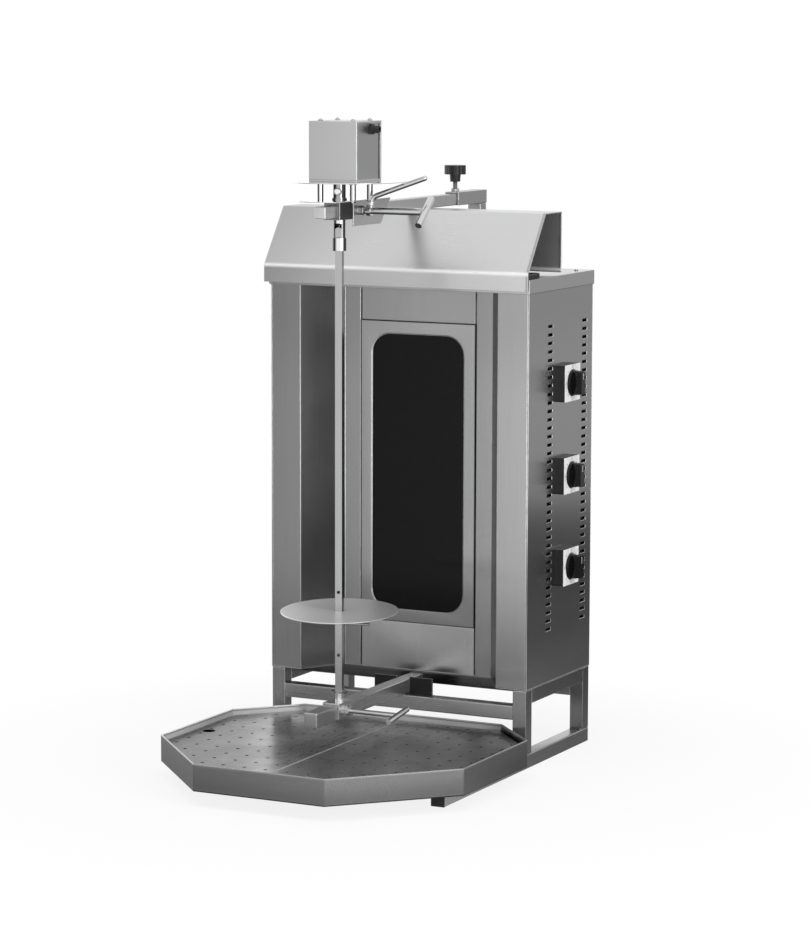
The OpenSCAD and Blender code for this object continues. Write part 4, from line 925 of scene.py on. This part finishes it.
# Painted shade on the bars' undersides.
tone_by(rod_steel, facing(rod_steel, UP), -1.0, 1.0, [(-0.75, 0.12), (-0.2, 1.0)])
for name in ("top_clamp_screw", "lock_lever"):
    dress(name, rod_steel, edge=0.0008)
ROD_END = 0.140
T_BAR_DEEP = 0.0058
T_BAR_RIM = 0.0061
LEVER_X = 0.037
LEVER_RISE = 0.0090
LEVER_RIM = 0.0046
LEAN = math.radians(14)
weld("t_bar_weld",
     rim_points((ROD_END - T_BAR_DEEP, CLAMP_Y, CLAMP_Z), (0, 1, 0), UP, T_BAR_RIM, 12),
     "top_clamp_screw", THIN_BEAD)
lever_foot = (LEVER_X + LEVER_RISE * math.sin(LEAN), CLAMP_Y, CLAMP_Z + LEVER_RISE * math.cos(LEAN))
weld("lever_weld",
     rim_points(lever_foot, (0, 1, 0), (math.cos(LEAN), 0, -math.sin(LEAN)), LEVER_RIM, 12),
     "lock_lever", THIN_BEAD)

# Motor seat: a lower plate and an upper disc of mirror-bright sheet that keep fat off the
# motor, and four turned studs with nuts that carry the housing's base plate.
TO_RIGHT = (0.894, 0.448, 0)


def dark_flanks(material, starts, dark, flank):
    """Paints the dark reflection that a polished bar shows along its left and right flanks."""
    tone_by(material, facing(material, TO_RIGHT), -1.0, 1.0,
            [(-dark, flank), (-starts, 1.0), (starts, 1.0), (dark, flank)])


mirror_sheet = brushed_steel("mirror_sheet", 0.92, "X", rough=(0.05, 0.10), depth=0.01,
                             cloud=0.02)
stud_steel = brushed_steel("stud_turned", 0.80, "Z", rough=(0.10, 0.18), depth=0.02, bend=0)
# The studs get painted dark reflections along their flanks.
dark_flanks(stud_steel, starts=0.30, dark=0.60, flank=0.05)
cover_steel = brushed_steel("cover_brushed", 0.70, "Z", rough=(0.26, 0.32), cloud=0.015,
                            band=0.05, smear=0.4)
dress("shield_disc", mirror_sheet, edge=0.0003)
dress("shield_plate", mirror_sheet, edge=0.0003)
dress("motor_posts", stud_steel, edge=0.0005)
dress("motor_base", cover_steel, edge=0.0006)

# Motor housing: a folded steel cover with darker panels set into its two sides. The studs
# end in small nuts on top, and a black gland sits in the right side.
inset_steel = brushed_steel("inset_brushed", 0.55, "Z", rough=(0.26, 0.36), smear=0.4)
inset_low, inset_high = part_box("motor_side_panels")
# Painted shade along the inset panels' front and rear edges, in the joints with the cover.
tone_by(inset_steel, place_along(inset_steel, (0, 1, 0)), inset_low.y - MARGIN,
        inset_high.y + MARGIN, from_edge(inset_low.y, [(0.002, 0.2), (0.0045, 1.0)])
        + from_edge(inset_high.y, [(-0.009, 1.0), (-0.006, 0.25)]))
cast_metal = moulded_plastic("cast_metal", (0.05, 0.052, 0.055), rough=0.6, grain_scale=900.0,
                             depth=0.3)
dress("motor_cover", cover_steel, edge=0.0009, steps=3)
dress("motor_side_panels", inset_steel, edge=0)
dress("dome_nuts", plated, edge=0.0004)
dress("motor_gland", black_moulding, edge=0.0006)
dress("gear_motor", cast_metal, edge=0)

# Coupling, socket and collar: turned and polished bar. The coupling's big set screw grips
# the motor shaft, and the slotted socket takes the skewer's tip behind the sliding collar.
turned_dark = brushed_steel("turned_dark", 0.42, "Z", rough=(0.08, 0.16), depth=0.02, bend=0)
polished_bar = brushed_steel("polished_bar", 0.85, "Z", rough=(0.06, 0.14), depth=0.02, bend=0)
# Painted dark reflections along the flanks of the coupling, socket and collar.
dark_flanks(turned_dark, starts=0.40, dark=0.70, flank=0.08)
dark_flanks(polished_bar, starts=0.45, dark=0.72, flank=0.06)
dress("drive_coupling", turned_dark, edge=0.0007)
dress("skewer_socket", polished_bar, edge=0.0006)
dress("locking_collar", polished_bar, edge=0.0006)
SPIN_Y = -0.131
SKEWER_TURN = math.radians(12)
SET_SCREW_Z = 1.0007
SET_SCREW_OUT = 0.0134
HEAD_RINGS = ((0.0059, 0.0), (0.0057, 0.0007), (0.0046, 0.0013), (0.0030, 0.0016))
HEAD_HOLLOW = 0.0004
HEAD_SIDES = 24


def set_screw_head(name):
    """A domed screw head, hollowed in the middle, on the coupling's front."""
    verts, faces = [], []
    for radius, out in HEAD_RINGS:
        for k in range(HEAD_SIDES):
            turn = 2 * math.pi * k / HEAD_SIDES
            verts.append((radius * math.cos(turn), -out, radius * math.sin(turn)))
    for ring in range(len(HEAD_RINGS) - 1):
        for k in range(HEAD_SIDES):
            a, b = ring * HEAD_SIDES + k, ring * HEAD_SIDES + (k + 1) % HEAD_SIDES
            faces.append((a, b, b + HEAD_SIDES, a + HEAD_SIDES))
    middle = len(verts)
    verts.append((0, -HEAD_HOLLOW, 0))
    last = (len(HEAD_RINGS) - 1) * HEAD_SIDES
    for k in range(HEAD_SIDES):
        faces.append((last + k, last + (k + 1) % HEAD_SIDES, middle))
    mesh = bpy.data.meshes.new(name)
    mesh.from_pydata(verts, [], faces)
    for face in mesh.polygons:
        face.use_smooth = True
    mesh.transform(Matrix.Translation((0, SPIN_Y, SET_SCREW_Z))
                   @ Matrix.Rotation(SKEWER_TURN, 4, "Z")
                   @ Matrix.Translation((0, -SET_SCREW_OUT, 0)))
    return mesh


bright_screw = brushed_steel("bright_screw", 0.85, "Z", rough=(0.10, 0.18), depth=0.02)
add_piece("set_screw_head", set_screw_head("set_screw_head"), bright_screw, "drive")

# Skewer: a ground square bar with a pointed tip, a round foot plate and a cross pin that
# carries the meat disc, which is polished sheet on a short hub.
bar_steel = brushed_steel("bar_ground", 0.46, "Z", rough=(0.16, 0.26), bend=0)
# Painted shade on the skewer's faces that turn to the right.
tone_by(bar_steel, facing(bar_steel, (1, 0, 0)), -1.0, 1.0, [(0.35, 1.0), (0.75, 0.50)])
disc_steel = brushed_steel("disc_polished", 0.95, "X", rough=(0.30, 0.40), depth=0.01,
                           bend=0.001, metallic=0.60)
# Painted shading: the meat disc grows darker towards the right.
tone_by(disc_steel, place_along(disc_steel, TO_RIGHT), -0.2, 0.1, [(-0.17, 1.0), (0.06, 0.54)])
dress("skewer", bar_steel, edge=0.0007)
dress("meat_disc", disc_steel, edge=0.0005)
BAR_HALF = 0.0060
FOOT_THICK = 0.003
FOOT_BEAD = 0.0008
foot_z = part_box("skewer")[0].z + FOOT_THICK
foot_rim = []
for sx, sy in ((-1, -1), (1, -1), (1, 1), (-1, 1), (-1, -1)):
    x, y = sx * BAR_HALF, sy * BAR_HALF
    foot_rim.append((x * math.cos(SKEWER_TURN) - y * math.sin(SKEWER_TURN),
                     SPIN_Y + x * math.sin(SKEWER_TURN) + y * math.cos(SKEWER_TURN), foot_z))
weld("skewer_foot_weld", foot_rim, "skewer", FOOT_BEAD)

# Saddle: a folded channel that slides on the bottom arm, with the peg that the skewer turns
# on, and a plated clamp screw with a T bar in a welded nut.
saddle_steel = brushed_steel("saddle_plated", 0.85, "X", rough=(0.14, 0.26), depth=0.02)
dress("saddle", saddle_steel, edge=0.0006)
dress("bottom_clamp_screw", rod_steel, edge=0.0008)
SADDLE_SIDE = 0.0158
BEAD_OUT = 0.0003
SADDLE_Y = -0.137
SADDLE_Z = 0.1235
SADDLE_NUT_RIM = 0.0084
weld("saddle_nut_weld",
     rim_points((SADDLE_SIDE + BEAD_OUT, SADDLE_Y, SADDLE_Z), (0, 1, 0), UP, SADDLE_NUT_RIM, 6),
     "saddle", FOOT_BEAD)

# Drip pan: eight sided, folded from 1.5 mm sheet with a hemmed rim and welded corners. Its
# inner walls at the back and left carry a painted highlight.
pan_low, pan_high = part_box("drip_pan")
pan_steel = brushed_steel("pan_brushed", 0.30, "X", rough=(0.20, 0.30), cloud=0.06, bend=0.004,
                          edge_highlight=0.35)
# Painted shade on the front-left walls and the foot; a painted highlight near the rim.
tone_by(pan_steel, facing(pan_steel, (-0.89, -0.45, 0)), -1.0, 1.0, [(0.5, 1.0), (0.95, 0.72)])
tone_by(pan_steel, place_along(pan_steel, UP), 0.0, 0.1,
        from_edge(pan_low.z, [(0.0012, 0.12), (0.0030, 0.80)])
        + from_edge(pan_high.z, [(-0.004, 1.15)]))
# Painted highlight on the inner walls at the back and left.
pan_tree = pan_steel.node_tree
back_left = tone_steps(pan_tree, place_along(pan_steel, (-0.6, 0.8, 0)), -0.4, 0.4,
                       [(-0.06, 0.0), (0.0, 1.0)])
inward = tone_steps(pan_tree, facing(pan_steel, (0.55, -0.55, 0.63)), -1.0, 1.0,
                    [(0.2, 0.0), (0.45, 1.0)])
paint_highlight(pan_steel, times(pan_tree, back_left, inward), tone=1.0, metallic=0.10)
dress("drip_pan", pan_steel, edge=0.0012, steps=3)

# Two perforated halves lie in the pan, punched from sheet and smeared with grease. They
# carry painted shade in their holes and a painted bright band across the middle.
perforated = brushed_steel("tray_brushed", 0.42, "Y", rough=(0.22, 0.34), depth=0.012,
                           cloud=0.08, bend=0)
# Painted shade on faces that don't look up, such as the holes' walls.
tone_by(perforated, facing(perforated, UP), -1.0, 1.0, [(0.3, 0.24), (0.8, 1.0)])
# Painted light and shade: darker at the front left and back right, paler between.
tone_by(perforated, place_along(perforated, TO_RIGHT), -0.5, 0.3,
        [(-0.34, 0.32), (-0.24, 0.36), (-0.17, 0.90), (0.02, 0.84), (0.20, 0.40)])
tray_tree = perforated.node_tree
grease = node(tray_tree, "ShaderNodeTexNoise", Scale=9.0, Detail=3.0)
tray_tree.links.new(node(tray_tree, "ShaderNodeTexCoord").outputs["Object"],
                    grease.inputs["Vector"])
tone_by(perforated, grease.outputs["Fac"], 0.0, 1.0, [(0.38, 0.72), (0.62, 1.25)])
for name in ("tray_left", "tray_right"):
    dress(name, perforated, edge=0.0007)

# The two halves meet on the middle line in folded edges. A pale strip along each edge, a
# piece of its own, is a painted highlight.
SEAM_WIDE = 0.0011
SEAM_THICK = 0.00025
SEAM_INSET = 0.0001
SEAM_END = 0.001
SEAM_LIFT = 0.00002
SEAM_FACES = ((0, 2, 3, 1), (4, 5, 7, 6), (0, 1, 5, 4), (2, 6, 7, 3), (0, 4, 6, 2), (1, 3, 7, 5))
seam_highlight = brushed_steel("seam_highlight", 0.85, "Y", rough=(0.35, 0.5), metallic=0.5)
for side, sign in (("left", -1), ("right", 1)):
    low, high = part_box("tray_" + side)
    inner = high.x if sign < 0 else low.x
    near, far = inner + sign * SEAM_INSET, inner + sign * (SEAM_INSET + SEAM_WIDE)
    top = high.z + SEAM_LIFT
    strip = bpy.data.meshes.new("seam_edge_" + side)
    strip.from_pydata([(x, y, top + up) for up in (0, SEAM_THICK)
                       for y in (low.y + SEAM_END, high.y - SEAM_END) for x in (near, far)],
                      [], SEAM_FACES)
    add_piece("seam_edge_" + side, strip, seam_highlight, "tray_" + side)
